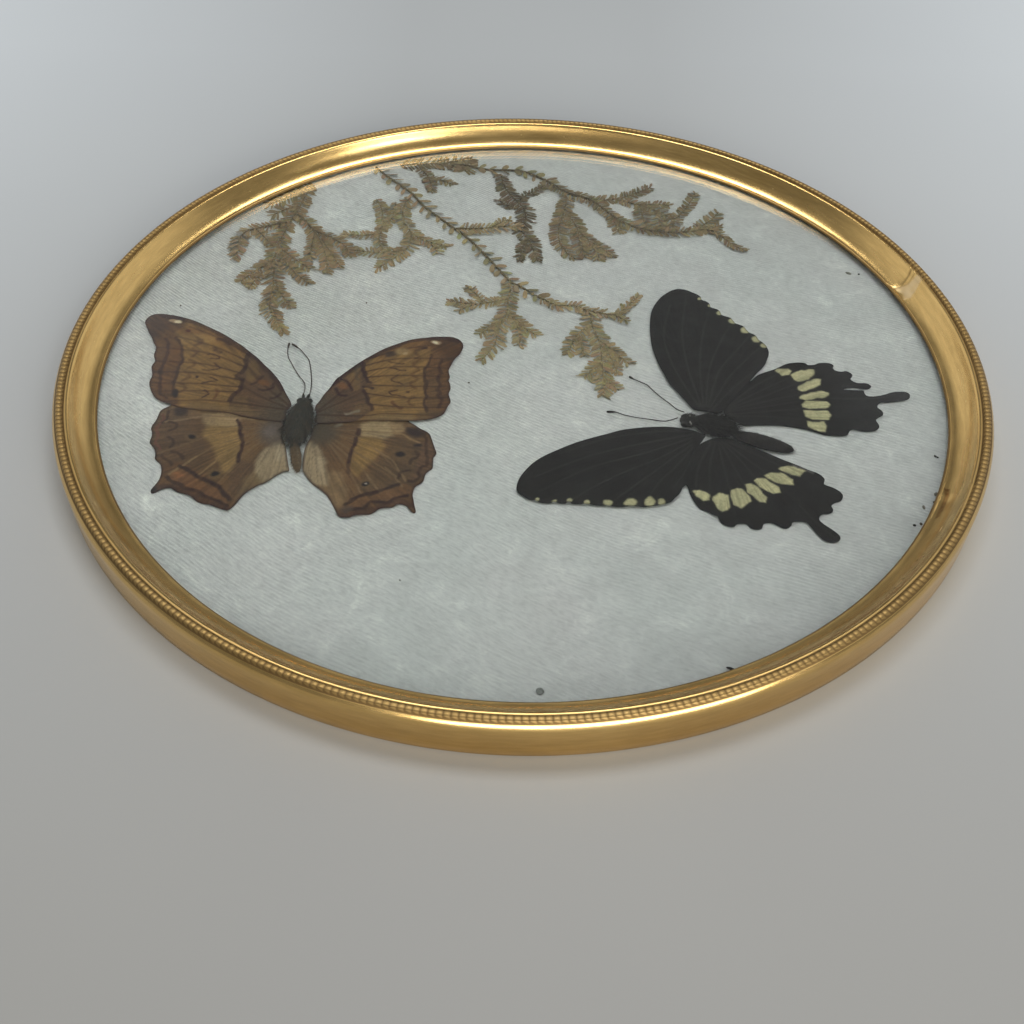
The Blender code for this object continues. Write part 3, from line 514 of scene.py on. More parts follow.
def damageAndShadeRim(rim):
    places = readPlaces(rim)
    flat = places[:, :2]
    radius = np.hypot(flat[:, 0], flat[:, 1])
    face = (places[:, 2] > 3.7) & (radius < 99.0)
    wearAndShade = np.zeros((len(places), 3))              # rubbed; darkened by tarnish, dirt and painted shade; bare copper
    darkening = rimDamageAndShade["darkening"]
    for name in ("dent", "nickMiddle"):
        middle, reach, depth = rimDamageAndShade[name]
        gap = np.hypot(*(flat - np.array(middle)).T)
        places[:, 2] -= np.where(face, depth * fade(gap, reach), 0)
    crease, _ = measureToLine(flat, rimDamageAndShade["crease"])
    spur, _ = measureToLine(flat, rimDamageAndShade["spur"])
    line = np.maximum(fade(crease, 0.42), 0.5 * fade(spur, 0.4))
    places[:, 2] -= np.where(face, rimDamageAndShade["creaseDepth"] * line, 0)
    wearAndShade[:, 1] = np.where(face, darkening["crease"] * line, 0)
    rubbed = coverOutline(flat, rimDamageAndShade["rubbed"], 0.9) * (0.55 + 0.45 * latticeNoise(flat, 0.7, 11))
    wearAndShade[:, 0] = np.where(face, rimDamageAndShade["rubbedShare"] * rubbed, 0)
    nick = coverOutline(flat, rimDamageAndShade["nick"], 0.5) * (0.5 + 0.5 * latticeNoise(flat, 0.45, 12))
    wearAndShade[:, 2] = np.where(face, nick, 0)
    lip = (places[:, 2] < 4.5) & (radius < 94.3) & (places[:, 2] > 3.7)
    for middle, size in rimDamageAndShade["lipNotches"]:
        gap = np.hypot(*(flat - np.array(middle)).T)
        wearAndShade[:, 1] = np.maximum(wearAndShade[:, 1], np.where(lip, fade(gap, size * 0.7), 0))
    # The milled band is painted darker all over, painted shade that dims its glints, and darker still in the
    # valleys between beads, dirt and painted shade.
    valley = np.abs(np.sin(math.pi * np.arctan2(flat[:, 0], flat[:, 1]) / fullTurn * rimSizes["beads"]))
    milled = (radius > 98.9) & (radius < 100.9) & (places[:, 2] > 8.3)
    wearAndShade[:, 1] = np.where(milled, darkening["beads"] + darkening["valleyDirtAndShade"] * (1 - valley) ** 1.5, wearAndShade[:, 1])
    # Painted shade: the lip's inner edge is dark all round, the shadow line where lip meets satin; it also
    # stops the brass there lighting the satin.
    hem = (radius < 93.7) & (places[:, 2] > 3.7) & (places[:, 2] < 4.35)
    wearAndShade[:, 1] = np.where(hem, darkening["hem"], wearAndShade[:, 1])
    seam = fade(np.abs(radius - 96.6), 0.7) * face * (0.25 + 0.5 * latticeNoise(flat, 6.0, 13))
    wearAndShade[:, 1] = np.maximum(wearAndShade[:, 1], darkening["seam"] * seam)
    edge = fade(np.abs(radius - 98.95), 0.3) * (places[:, 2] > 8)
    wearAndShade[:, 1] = np.maximum(wearAndShade[:, 1], darkening["edge"] * edge)
    writePlaces(rim, places)
    paintLayer(rim, "wearAndShade", wearAndShade)


makeRim()
print("rim turned, milled and dented")

# Pane, card and hanger
caseSetup = {
    "cardTone": (0.33, 0.265, 0.18),
    "steelTone": (0.62, 0.55, 0.40),
    "paneTone": (0.965, 0.985, 0.98),
    "paneBend": 1.5,
}


def paneFinish():
    finish, tree, shader = newFinish("old_window_glass", 0.0)
    shader.inputs["Transmission Weight"].default_value = 1.0
    shader.inputs["IOR"].default_value = caseSetup["paneBend"]
    where = objectPlaces(tree)
    haze = noise(tree, where, 26.0, 3.0, 0.6)
    tint = ramp(tree, haze, [(0.35, caseSetup["paneTone"]), (0.65, (0.985, 0.99, 0.99))])
    tree.links.new(tint, shader.inputs["Base Color"])
    drawn = noise(tree, objectPlaces(tree, (1.0, 0.25, 1.0)), 30.0, 2.0)
    bump(tree, shader, drawn, 0.05, 0.0002)
    return finish


def cardFinish():
    finish, tree, shader = newFinish("pressed_card", 0.9)
    where = objectPlaces(tree)
    fibres = noise(tree, objectPlaces(tree, (1.0, 3.0, 1.0), 0.4), 900.0, 5.0, 0.7)
    stains = noise(tree, where, 25.0, 4.0)
    tone = ramp(tree, fibres, [(0.25, (0.22, 0.17, 0.11)), (0.5, caseSetup["cardTone"]),
                               (0.8, (0.43, 0.36, 0.26))])
    worn = ramp(tree, stains, [(0.3, (0.75, 0.72, 0.68)), (0.7, (1, 1, 1))])
    tree.links.new(mixColour(tree, 1.0, tone, worn, "MULTIPLY"), shader.inputs["Base Color"])
    bump(tree, shader, fibres, 0.4, 0.0001)
    return finish


def steelFinish():
    finish, tree, shader = newFinish("brassed_steel", 0.35, 1.0)
    where = objectPlaces(tree, (1.0, 6.0, 1.0))
    grain = noise(tree, where, 900.0, 3.0)
    rust = noise(tree, objectPlaces(tree), 240.0, 5.0, 0.7)
    tone = ramp(tree, rust, [(0.45, caseSetup["steelTone"]), (0.68, (0.30, 0.15, 0.07))])
    tree.links.new(tone, shader.inputs["Base Color"])
    tree.links.new(mapRange(tree, rust, 0.4, 0.7, 0.3, 0.7), shader.inputs["Roughness"])
    bump(tree, shader, grain, 0.3, 0.00005)
    return finish


def wearFinish(node, finish):
    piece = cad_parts[node]
    piece.data.materials.clear()
    piece.data.materials.append(finish)


wearFinish("glass", paneFinish())
wearFinish("backing_board", cardFinish())
wearFinish("hanger", steelFinish())
print("pane, card and hanger finished")

# The satin that lines the case
satinSizes = {
    "radius": 99.0,
    "rings": 96,
    "segments": 288,
    "level": 1.96,
    "thickness": 0.22,
    "ribPitch": 0.9,
    "dashDraw": 0.36,           # how far the woven dashes are drawn out
    "slack": 0.1,
    "hollow": 0.55,             # depth of the pockets under the bodies
    "edgeDrop": 0.25,
    "lowest": 1.38,
    "tone": (0.735, 0.76, 0.716),
    "flat": 0.198,
}
brownLobes = [(-47.5, -23.0, 7.2, 2.9, 90.0), (-47.4, -16.6, 1.5, 1.5, 0.0), (-46.7, -33.0, 5.3, 1.1, -76.5)]
blackLobes = [(41.5, -20.5, 5.0, 3.4, -20.0), (36.1, -19.2, 2.1, 2.1, 0.0), (51.0, -25.3, 6.9, 2.2, -21.2)]


def satinFinish():
    finish, tree, shader = newFinish("moire_satin", 0.45)
    shader.inputs["Sheen Weight"].default_value = 0.2
    shader.inputs["Sheen Roughness"].default_value = 0.4
    where = objectPlaces(tree)
    split = addNode(tree, "SeparateXYZ", {"Vector": where})
    x, y = split.outputs["X"], split.outputs["Y"]
    lean = mathNode(tree, "ADD", mathNode(tree, "MULTIPLY", x, 0.52),
                    mathNode(tree, "MULTIPLY", mathNode(tree, "MULTIPLY", x, x), -1.3))
    wander = mathNode(tree, "MULTIPLY", noise(tree, where, 14.0, 2.0), 0.011)
    course = mathNode(tree, "ADD", mathNode(tree, "ADD", y, lean), wander)
    pace = fullTurn / (satinSizes["ribPitch"] * mm)
    wave = mathNode(tree, "SINE", mathNode(tree, "MULTIPLY", course, pace))
    drawn = mathNode(tree, "MULTIPLY", x, satinSizes["dashDraw"])
    along = addNode(tree, "CombineXYZ", {"X": drawn, "Y": course})
    dashes = noise(tree, along.outputs["Vector"], 1500.0, 3.0, 0.65)
    pressed = noise(tree, where, 120.0, 6.0, 0.75, 0.6)
    clear = mapRange(tree, noise(tree, where, 20.0, 2.0), 0.38, 0.6, 0.2, 1.0)
    onLeft = mapRange(tree, x, -0.085, 0.02, 1.0, 0.3)
    onLeft = mathNode(tree, "MULTIPLY", onLeft, mapRange(tree, y, -0.08, -0.02, 0.4, 1.0))
    ribs = mathNode(tree, "MULTIPLY", mathNode(tree, "MULTIPLY", wave, clear), onLeft)
    frosted = ramp(tree, pressed, [(0.38, (0.92, 0.92, 0.92)), (0.54, (1.0, 1.0, 1.0)),
                                   (0.62, (1.08, 1.08, 1.07)), (0.72, (1.3, 1.3, 1.28))])
    threads = ramp(tree, dashes, [(0.36, (0.8, 0.805, 0.805)), (0.48, (0.98, 0.98, 0.98)),
                                  (0.64, (1.12, 1.12, 1.11))])
    threads = mixColour(tree, mapRange(tree, onLeft, 0.1, 0.8, 0.45, 1.0), (1.0, 1.0, 1.0), threads)
    lines = mapRange(tree, ribs, -1.0, 1.0, 0.79, 1.1)
    tone = mixColour(tree, 1.0, satinSizes["tone"], frosted, "MULTIPLY")
    tone = mixColour(tree, 1.0, tone, threads, "MULTIPLY")
    tone = mixColour(tree, 1.0, tone, lines, "MULTIPLY")
    # Painted light and shade: the satin is painted lighter to the left and darker towards the front.
    fadeAndShade = mathNode(tree, "MULTIPLY", mapRange(tree, x, -0.08, 0.08, 1.12, 0.96),
                     mapRange(tree, y, -0.09, -0.02, 0.92, 1.0))
    tone = mixColour(tree, 1.0, tone, fadeAndShade, "MULTIPLY")
    tree.links.new(tone, shader.inputs["Base Color"])
    tree.links.new(mapRange(tree, pressed, 0.3, 0.8, 0.52, 0.36), shader.inputs["Roughness"])
    weave = noise(tree, where, 2600.0, 2.0, 0.6)
    first = bump(tree, shader, ribs, 0.6, 0.00013)
    second = bump(tree, shader, dashes, 0.25, 0.00014, first)
    bump(tree, shader, weave, 0.3, 0.00005, second)
    return finish


def lobeGap(flat, lobe):  # in lobe radii, 1 at its edge
    x, y, halfLength, halfWidth, turn = lobe
    c, s = math.cos(math.radians(turn)), math.sin(math.radians(turn))
    dx, dy = flat[:, 0] - x, flat[:, 1] - y
    return np.hypot((dx * c + dy * s) / halfLength, (dy * c - dx * s) / halfWidth)


def makeSatin():
    letGo()
    rings = satinSizes["rings"]
    bpy.ops.mesh.primitive_circle_add(vertices=satinSizes["segments"], radius=satinSizes["radius"] * mm,
                                      fill_type="NGON", location=(0, 0, satinSizes["level"] * mm))
    satin = bpy.context.object
    settle(satin)
    editMode(satin, "FACE")
    bpy.ops.mesh.select_all(action="SELECT")
    for i in range(rings - 1):
        bpy.ops.mesh.inset(thickness=satinSizes["radius"] / rings * mm)
    bpy.ops.mesh.poke()
    objectMode()
    places = readPlaces(satin)
    flat = places[:, :2]
    drift = latticeNoise(flat, 31.0, 21) - 0.5 + 0.4 * (latticeNoise(flat, 12.0, 22) - 0.5)
    places[:, 2] += satinSizes["slack"] * drift - 0.05
    for lobe in brownLobes + blackLobes:
        gap = lobeGap(flat, lobe)
        places[:, 2] -= satinSizes["hollow"] * fade(np.maximum(gap - 0.8, 0), 0.75)
    radius = np.hypot(flat[:, 0], flat[:, 1])
    places[:, 2] -= satinSizes["edgeDrop"] * np.clip((radius - 96.5) / 2.5, 0, 1) ** 2
    places[:, 2] = np.maximum(places[:, 2], satinSizes["lowest"])
    writePlaces(satin, places)
    applyModifier(satin, "SOLIDIFY", thickness=satinSizes["thickness"] * mm, offset=-1.0)
    takeHold(satin)
    bpy.ops.object.shade_smooth_by_angle(angle=math.radians(50))
    dress(satin, "satin_lining", "pale_satin", satinFinish(), "cloth")
    flat = satinSizes["flat"]


makeSatin()
print("satin stretched")

# Brushes for the wings: every tone is as it shows through the pane
brushSetup = {
    "veil": 0.019,              # what the pane's own reflection adds
    "gain": 1.34,
    "wobble": (0.22, 1.1),      # reach and size of the hand's shake
    "cell": 1.0,                # first cut of a wing, then cut again
    "cuts": 3,
}


def surfaceTone(tone):
    share = np.array(tone, float) / 255
    linear = np.where(share > 0.04045, ((share + 0.055) / 1.055) ** 2.4, share / 12.92)
    return np.clip((linear - brushSetup["veil"]) * brushSetup["gain"], 0.003, 0.9)


def blendIn(canvas, cover, tone):
    canvas += cover[:, None] * (surfaceTone(tone) - canvas)


def smoothOutline(outline, parts, closed=True):  # a rounded line through every point
    points = np.array(outline, float)
    count = len(points)
    last = count if closed else count - 1
    curve = []
    for i in range(last):
        if closed:
            a, b, c, d = (points[(i + k) % count] for k in (-1, 0, 1, 2))
        else:
            a, b, c, d = (points[min(max(i + k, 0), count - 1)] for k in (-1, 0, 1, 2))
        for t in np.arange(parts) / parts:
            curve.append(0.5 * (2 * b + (c - a) * t + (2 * a - 5 * b + 4 * c - d) * t ** 2
                                + (3 * b - 3 * c + d - a) * t ** 3))
    if not closed:
        curve.append(points[-1])
    return [tuple(point) for point in curve]


def shaken(spots, seed):
    reach, size = brushSetup["wobble"]
    shift = np.stack([latticeNoise(spots, size, seed), latticeNoise(spots, size, seed + 1)], -1)
    return spots + reach * 2 * (shift - 0.5)


def paintWing(spots, wing, seed):
    loose = shaken(spots, seed)
    canvas = np.tile(surfaceTone(wing["ground"]), (len(spots), 1))
    for tone, soft, strength, outline in wing.get("areas", []):
        blendIn(canvas, strength * coverOutline(loose, outline, soft), tone)
    root = np.array(wing["root"])
    away = spots - root
    reach, angle = np.hypot(away[:, 0], away[:, 1]), np.arctan2(away[:, 1], away[:, 0])
    rays = latticeNoise(np.stack([angle * wing.get("rays", 60), reach * 0.18], -1), 1.0, seed + 3)
    canvas *= 1 + wing.get("streak", 0.2) * (rays - 0.5)[:, None] * 2
    for tone, width, soft, strength, line in wing.get("veins", []):
        gap, passed = measureToLine(spots, smoothOutline(line, 4, False))
        blendIn(canvas, strength * (1 - 0.4 * passed) * fade(gap, width / 2 + soft), tone)
    for tone, width, soft, strength, line in wing.get("strokes", []):
        gap, passed = measureToLine(loose, smoothOutline(line, 3, False))
        press = 0.7 + 0.3 * latticeNoise(spots, 0.9, seed + 4)
        blendIn(canvas, strength * press * fade(np.maximum(gap - width / 2, 0), soft), tone)
    for tone, middle, sizes, turn, soft, strength in wing.get("dabs", []):
        c, s = math.cos(math.radians(turn)), math.sin(math.radians(turn))
        dx, dy = loose[:, 0] - middle[0], loose[:, 1] - middle[1]
        gap = np.hypot((dx * c + dy * s) / sizes[0], (dy * c - dx * s) / sizes[1])
        blendIn(canvas, strength * fade(np.maximum(gap - 1 + soft / 2, 0), soft), tone)
    tone, width, strength = wing["edge"]
    gap, _ = measureToLine(spots, wing["outline"], closed=True)
    blendIn(canvas, strength * fade(gap, width), tone)
    grain = latticeNoise(spots, 0.32, seed + 5) - 0.5 + 0.6 * (latticeNoise(spots, 2.6, seed + 6) - 0.5)
    return np.clip(canvas * (1 + wing.get("grain", 0.3) * grain[:, None]), 0.002, 0.95)


def cutFlat(outline, level):  # cells small enough to paint
    letGo()
    bpy.ops.mesh.primitive_circle_add(vertices=len(outline), radius=mm, fill_type="NGON")
    leaf = bpy.context.object
    writePlaces(leaf, np.array([(x, y, level) for x, y in outline]))
    editMode(leaf)
    low, high = np.min(outline, 0), np.max(outline, 0)
    cell = brushSetup["cell"]
    for axis in (0, 1):
        for place in np.arange(low[axis] + cell / 2, high[axis], cell):
            bpy.ops.mesh.select_all(action="SELECT")
            middle, facing = [0.0, 0.0, level * mm], [0.0, 0.0, 0.0]
            middle[axis], facing[axis] = place * mm, 1.0
            bpy.ops.mesh.bisect(plane_co=middle, plane_no=facing)
    bpy.ops.mesh.select_all(action="SELECT")
    bpy.ops.mesh.quads_convert_to_tris(quad_method="BEAUTY", ngon_method="BEAUTY")
    bpy.ops.mesh.subdivide(number_cuts=brushSetup["cuts"])
    bpy.ops.mesh.select_all(action="SELECT")
    objectMode()
    if leaf.data.polygons[0].normal.z < 0:
        bpy.ops.object.mode_set(mode="EDIT")
        bpy.ops.mesh.flip_normals()
        objectMode()
    return leaf


wingSizes = {
    "middleLevel": 2.42,        # top of the forewings
    "lowLevel": 2.22,           # top of the hindwings, tucked under them
    "thickness": 0.07,
    "veinRise": 0.028,
    "lift": 0.035,
}


def makeWing(node, wing, level, finish, slot, seed):
    outline = smoothOutline(wing["points"], 3)
    wing["outline"] = outline
    leaf = cutFlat(outline, level)
    places = readPlaces(leaf)
    spots = places[:, :2]
    rise = np.zeros(len(spots))
    for _, width, soft, _, line in wing.get("veins", []):
        gap, passed = measureToLine(spots, smoothOutline(line, 4, False))
        rise = np.maximum(rise, (1 - 0.5 * passed) * fade(gap, 0.35))
    places[:, 2] += wingSizes["veinRise"] * rise
    places[:, 2] += wingSizes["lift"] * 2 * (latticeNoise(spots, 9.0, seed + 8) - 0.5)
    writePlaces(leaf, places)
    applyModifier(leaf, "SOLIDIFY", thickness=wingSizes["thickness"] * mm, offset=-1.0)
    paintLayer(leaf, "scales", paintWing(readPlaces(leaf)[:, :2], wing, seed))
    takeHold(leaf)
    bpy.ops.object.shade_smooth_by_angle(angle=math.radians(40))
    dress(leaf, node + "_scales", slot, finish, node)


def wingFinish(name, roughness, sheen, sheenTint, fuzz):
    finish, tree, shader = newFinish(name, roughness)
    shader.inputs["Sheen Weight"].default_value = sheen
    shader.inputs["Sheen Roughness"].default_value = 0.35
    shader.inputs["Sheen Tint"].default_value = (*sheenTint, 1.0)
    shader.inputs["Specular IOR Level"].default_value = 0.3
    where = objectPlaces(tree)
    tone = addNode(tree, "Attribute", attribute_name="scales").outputs["Color"]
    scales = noise(tree, where, 5200.0, 2.0, 0.6)
    patchy = noise(tree, where, 260.0, 3.0, 0.6)
    dusted = ramp(tree, scales, [(0.3, (0.72, 0.72, 0.72)), (0.7, (1.22, 1.22, 1.22))])
    worn = ramp(tree, patchy, [(0.3, (0.9, 0.9, 0.9)), (0.7, (1.08, 1.08, 1.08))])
    tone = mixColour(tree, fuzz, tone, mixColour(tree, 1.0, tone, dusted, "MULTIPLY"))
    tree.links.new(mixColour(tree, 1.0, tone, worn, "MULTIPLY"), shader.inputs["Base Color"])
    tree.links.new(mapRange(tree, patchy, 0.3, 0.7, roughness - 0.08, roughness + 0.1),
                   shader.inputs["Roughness"])
    bump(tree, shader, scales, 0.35, 0.00004)
    return finish


def makeWings(wings, finish, slot, firstSeed):
    for i, (node, wing) in enumerate(wings.items()):
        level = wingSizes["middleLevel" if "fore" in node else "lowLevel"]
        makeWing(node, wing, level, finish, slot, firstSeed + 20 * i)


# Brown butterfly
ochre, paleOchre, rust = (127, 99, 60), (140, 112, 70), (112, 80, 50)
umber, darkUmber = (97, 72, 50), (56, 39, 27)
ink, wornGrey, cream = (50, 41, 40), (84, 74, 60), (146, 129, 102)
zigzag = ((60, 41, 29), 0.24, 0.2, 0.9)        # tone, width, softness, strength
faintZigzag = ((84, 60, 42), 0.3, 0.45, 0.7)
scallop = ((58, 44, 40), 0.35, 0.35, 0.85)
paleVein = ((128, 106, 76), 0.2, 0.22, 0.6)
darkVein = ((64, 46, 31), 0.42, 0.26, 0.85)
lightVein = ((118, 96, 68), 0.25, 0.25, 0.75)
brownWings = {
    "brown_left_forewing": {
        "points": [(-50.0, -17.7), (-51.8, -14.0), (-53.7, -10.3), (-56.0, -7.0), (-58.0, -4.7),
            (-60.0, -2.3), (-62.0, -0.3), (-64.0, 1.7), (-66.0, 3.4), (-68.0, 5.0), (-70.0, 6.5),
            (-72.0, 7.8), (-74.0, 9.0), (-76.0, 10.2), (-78.0, 11.2), (-80.0, 12.0), (-82.0, 12.6),
            (-84.0, 13.0), (-85.5, 13.2), (-87.0, 13.0), (-88.0, 12.3), (-88.5, 11.3), (-88.7, 10.0),
            (-88.2, 8.7), (-87.5, 7.3), (-86.7, 5.8), (-85.7, 4.2), (-84.8, 2.3), (-84.0, 1.0),
            (-83.7, -0.3), (-83.7, -1.8), (-83.3, -3.2), (-82.9, -4.3), (-83.2, -6.0), (-82.9, -7.3),
            (-82.5, -8.5), (-82.3, -9.7), (-82.4, -11.0), (-82.2, -12.3), (-81.6, -13.8), (-80.8, -15.3),
            (-79.8, -16.7), (-78.3, -17.8), (-77.0, -18.3), (-75.7, -18.8), (-74.7, -19.3), (-72.0, -20.0),
            (-69.0, -20.4), (-66.0, -20.6), (-63.0, -21.0), (-60.0, -21.9), (-56.0, -22.8), (-50.8, -23.2),
            (-50.7, -20.0)],
        "root": (-49.0, -20.0),
        "rays": 90,
        "streak": 0.36,
        "ground": ochre,
        "edge": (darkUmber, 0.75, 0.75),
        "areas": [
            (rust, 3.0, 0.55, [(-84, 10), (-70, 7.5), (-61, 0.5), (-64, -1), (-70, 2.5), (-76, 5),
                (-82, 7)]),
            (paleOchre, 1.6, 0.6, [(-79.5, 5), (-74, 6.4), (-70, 5), (-71, 3), (-76, 3), (-78.5, 1.5)]),
            (umber, 1.4, 0.95, [(-90, 15), (-80, 14), (-78.8, 9), (-80.8, 6.5), (-80, 3.5), (-78.5, 1.5),
                (-77.6, -1), (-76.8, -4.3), (-77.2, -6.7), (-76.7, -9.7), (-77, -12.5), (-75.6, -15.5),
                (-74.2, -18.6), (-76, -21), (-86, -17), (-92, 0)]),
            (rust, 1.0, 0.6, [(-80.2, 3), (-78.6, 1), (-77.8, -3), (-77.9, -8), (-77.8, -13),
                (-79.4, -13.5), (-80.3, -8), (-80.9, -2)]),
            ((80, 61, 48), 2.6, 0.85, [(-91, 15), (-79, 14), (-80, 10), (-84, 6.5), (-85, 1.5), (-91, 2)]),
            ((92, 71, 53), 0.6, 1.0, [(-62.4, 1.5), (-62.6, -3), (-62.2, -6.6), (-63.4, -8.8),
                (-61.9, -11.5), (-62.4, -14.4), (-63.6, -16.2), (-63.4, -19.2), (-60, -22.8), (-49, -25),
                (-48, -16), (-55, -7), (-60, -1)]),
            ((112, 89, 58), 1.0, 0.85, [(-61.4, -2.6), (-59.6, -4.6), (-58.6, -8), (-60, -10.8),
                (-61.6, -9.4), (-62, -6)]),
            ((106, 84, 57), 1.0, 0.8, [(-63.3, -15.6), (-60, -15.4), (-58.6, -20), (-62.6, -20.6)]),
            ((110, 90, 62), 1.2, 0.7, [(-72, -18.2), (-63, -18.6), (-56, -20.6), (-56, -22.4), (-66, -20.8),
                (-73, -20.2)]),
            (wornGrey, 5.0, 0.9, [(-54.5, -13), (-47, -13), (-47, -26), (-56, -25), (-56, -19)])],
        "veins": [(*darkVein, line) for line in (
            [(-62, -1.5), (-70, 4.5), (-78, 8.6)], [(-62.5, -3.2), (-71, 1.6), (-81, 5.2)],
            [(-62.5, -5.4), (-71.5, -1), (-84, 0.8)], [(-63, -7.6), (-72, -4.8), (-83, -4.2)],
            [(-62.6, -10), (-72, -8), (-82.6, -8)], [(-62, -12.4), (-72, -11.6), (-82, -11.8)],
            [(-62.6, -14), (-71, -14), (-81, -14.6)],
            [(-50.5, -19.5), (-62, -17.6), (-69, -17), (-77.5, -17.7)],
            [(-50.5, -18), (-57, -11.5), (-62.5, -4.5)], [(-50.5, -19), (-58, -14.8), (-62.2, -11.5)])],
        "strokes": [
            (darkUmber, 0.35, 0.4, 0.9, [(-80.2, 4.6), (-78.7, 2.3), (-77.7, -0.7), (-76.8, -4.3),
                (-77.2, -6.7), (-76.7, -9.7), (-77, -11.7), (-76.3, -14.3), (-75.7, -16.2)]),
            (darkUmber, 0.3, 0.5, 0.8, [(-82.3, 4), (-81, 0.7), (-80.7, -3.7), (-81, -7), (-80.2, -9.7),
                (-79.7, -13), (-79, -15.3), (-77.4, -16.6)]),
            (darkUmber, 0.5, 0.7, 0.85, [(-85.5, 12.5), (-78, 10.6), (-70, 5.8), (-63, 0.1), (-57, -6.6),
                (-52.6, -13)]),
            (darkUmber, 0.65, 0.4, 0.95, [(-62.3, -0.4), (-62.8, -2.7), (-62.2, -5.2), (-62.6, -7),
                (-63.8, -8.5)]),
            (darkUmber, 0.55, 0.4, 0.95, [(-63.6, -9.2), (-62.2, -10), (-61.9, -12.4), (-62.4, -14)]),
            (darkUmber, 0.6, 0.4, 0.95, [(-62.6, -14.4), (-63.4, -15.8), (-63.6, -17.2)]),
            (*zigzag, [(-71.6, -1.4), (-69.8, -1.6), (-68.7, -2.8), (-70.8, -3)]),
            (*zigzag, [(-69.6, -4.4), (-67.8, -6.2), (-69.4, -6.8), (-71.4, -7)]),
            (*zigzag, [(-69.4, -9.2), (-67.6, -10.3), (-69, -11), (-70.8, -11.5)]),
            (*zigzag, [(-69.8, -13.8), (-68.4, -14.8), (-69.6, -16.2)]),
            ((84, 54, 36), 0.25, 0.35, 0.7, [(-67.2, -13.2), (-66.6, -14.4), (-67, -16.6)]),
            (darkUmber, 0.5, 0.5, 0.8, [(-70.4, 4.2), (-68.8, 3.8), (-67.2, 2.4)]),
            (darkUmber, 0.4, 0.5, 0.7, [(-70.6, 0.9), (-69.8, 0), (-68.9, -0.6)]),
            (darkUmber, 0.4, 0.3, 0.9, [(-57.9, -8.6), (-58.2, -9.6), (-59, -10.9), (-60, -11.4)]),
            (darkUmber, 0.4, 0.3, 0.9, [(-57.8, -13), (-56.2, -13.2), (-55.1, -12.4), (-55, -11)]),
            (darkUmber, 0.4, 0.4, 0.8, [(-53, -14.3), (-53.9, -15.6), (-54.9, -15.9)])] +
        [(*faintZigzag, [(-75.4, y + 1.5), (-73.9, y), (-75.1, y - 1.5)]) for y in (
            3.2, -0.8, -5.0, -9.2, -13.3)],
        "dabs": [
            ((116, 80, 50), (-57.2, -10.8), (1.4, 0.8), -30, 0.9, 0.8),
            (ink, (-75.9, -15), (0.7, 1.5), 8, 0.7, 0.95),
            (darkUmber, (-72.3, -9.5), (0.42, 0.38), 0, 0.8, 0.95),
            ((76, 42, 40), (-77.9, 6.9), (0.6, 0.45), -20, 0.9, 0.85),
            ((176, 150, 116), (-81.7, 10.5), (1.5, 0.62), -8, 0.6, 0.9),
            ((226, 205, 168), (-81.0, 10.4), (0.7, 0.45), -8, 0.7, 1.0)]},
    "brown_right_forewing": {
        "points": [(-44.8, -18.3), (-44.1, -16.3), (-43.3, -13.9), (-42.5, -12.1), (-41.9, -10.2),
            (-41.4, -8.8), (-40.6, -7.7), (-39.4, -6.0), (-38.0, -4.1), (-36.6, -2.4), (-35.0, -0.7),
            (-33.4, 0.9), (-31.9, 2.3), (-30.0, 3.6), (-28.1, 4.8), (-26.3, 5.8), (-24.4, 6.4),
            (-22.5, 6.8), (-20.6, 7.2), (-18.8, 7.3), (-16.9, 7.3), (-15.6, 6.8), (-14.7, 6.1),
            (-14.1, 5.0), (-13.9, 3.6), (-14.1, 2.6), (-14.5, 1.2), (-15.2, 0.0), (-15.8, -1.3),
            (-16.3, -3.0), (-16.7, -4.7), (-16.5, -6.1), (-16.3, -7.2), (-16.5, -8.3), (-16.1, -9.6),
            (-15.9, -11.1), (-16.2, -12.7), (-15.9, -14.1), (-15.6, -15.5), (-16.1, -16.8), (-16.5, -18.3),
            (-17.1, -19.7), (-18.4, -20.7), (-20.0, -21.4), (-21.9, -21.8), (-23.4, -22.0), (-26.8, -22.1),
            (-29.4, -22.1), (-32.4, -22.2), (-36.8, -22.9), (-39.4, -23.2), (-44.0, -23.4), (-44.2, -20.6)],
        "root": (-45.5, -20.5),
        "rays": 84,
        "streak": 0.36,
        "ground": ochre,
        "edge": (darkUmber, 0.75, 0.75),
        "areas": [
            (rust, 2.0, 0.65, [(-35, 0.5), (-28, 5.2), (-20, 7.5), (-20, 2.5), (-27, 1.8), (-32, -2)]),
            (umber, 1.4, 0.95, [(-12, 5), (-15, 9), (-24, 8.5), (-21.4, 4.6), (-20.9, 1), (-21.4, -2),
                (-22, -6.6), (-21.4, -9.5), (-21.5, -12.5), (-20.8, -14.5), (-21.2, -17.4), (-20, -20),
                (-20, -23), (-14, -20), (-13, -6)]),
            ((106, 82, 55), 1.2, 0.7, [(-21.2, -8), (-18.8, -8), (-18.4, -12), (-18.4, -18), (-20.4, -18.4),
                (-21, -13)]),
            ((78, 56, 36), 2.6, 0.85, [(-12, 8), (-20, 8.5), (-21.5, 4.5), (-18.5, 1), (-17, -3),
                (-13, -3)]),
            ((90, 70, 53), 0.6, 1.0, [(-36.4, 0), (-35.9, -4), (-35, -7.4), (-33.8, -9.8), (-34.8, -11.6),
                (-34.3, -14.2), (-33.2, -16.4), (-32.2, -18.6), (-33.6, -20.6), (-37, -23.8), (-46, -26),
                (-47, -17), (-42, -7)]),
            ((110, 87, 58), 1.0, 0.85, [(-38.8, -5.4), (-36.8, -4.6), (-36, -9), (-35.8, -12.2),
                (-37, -12.6), (-38, -10), (-39.4, -8)]),
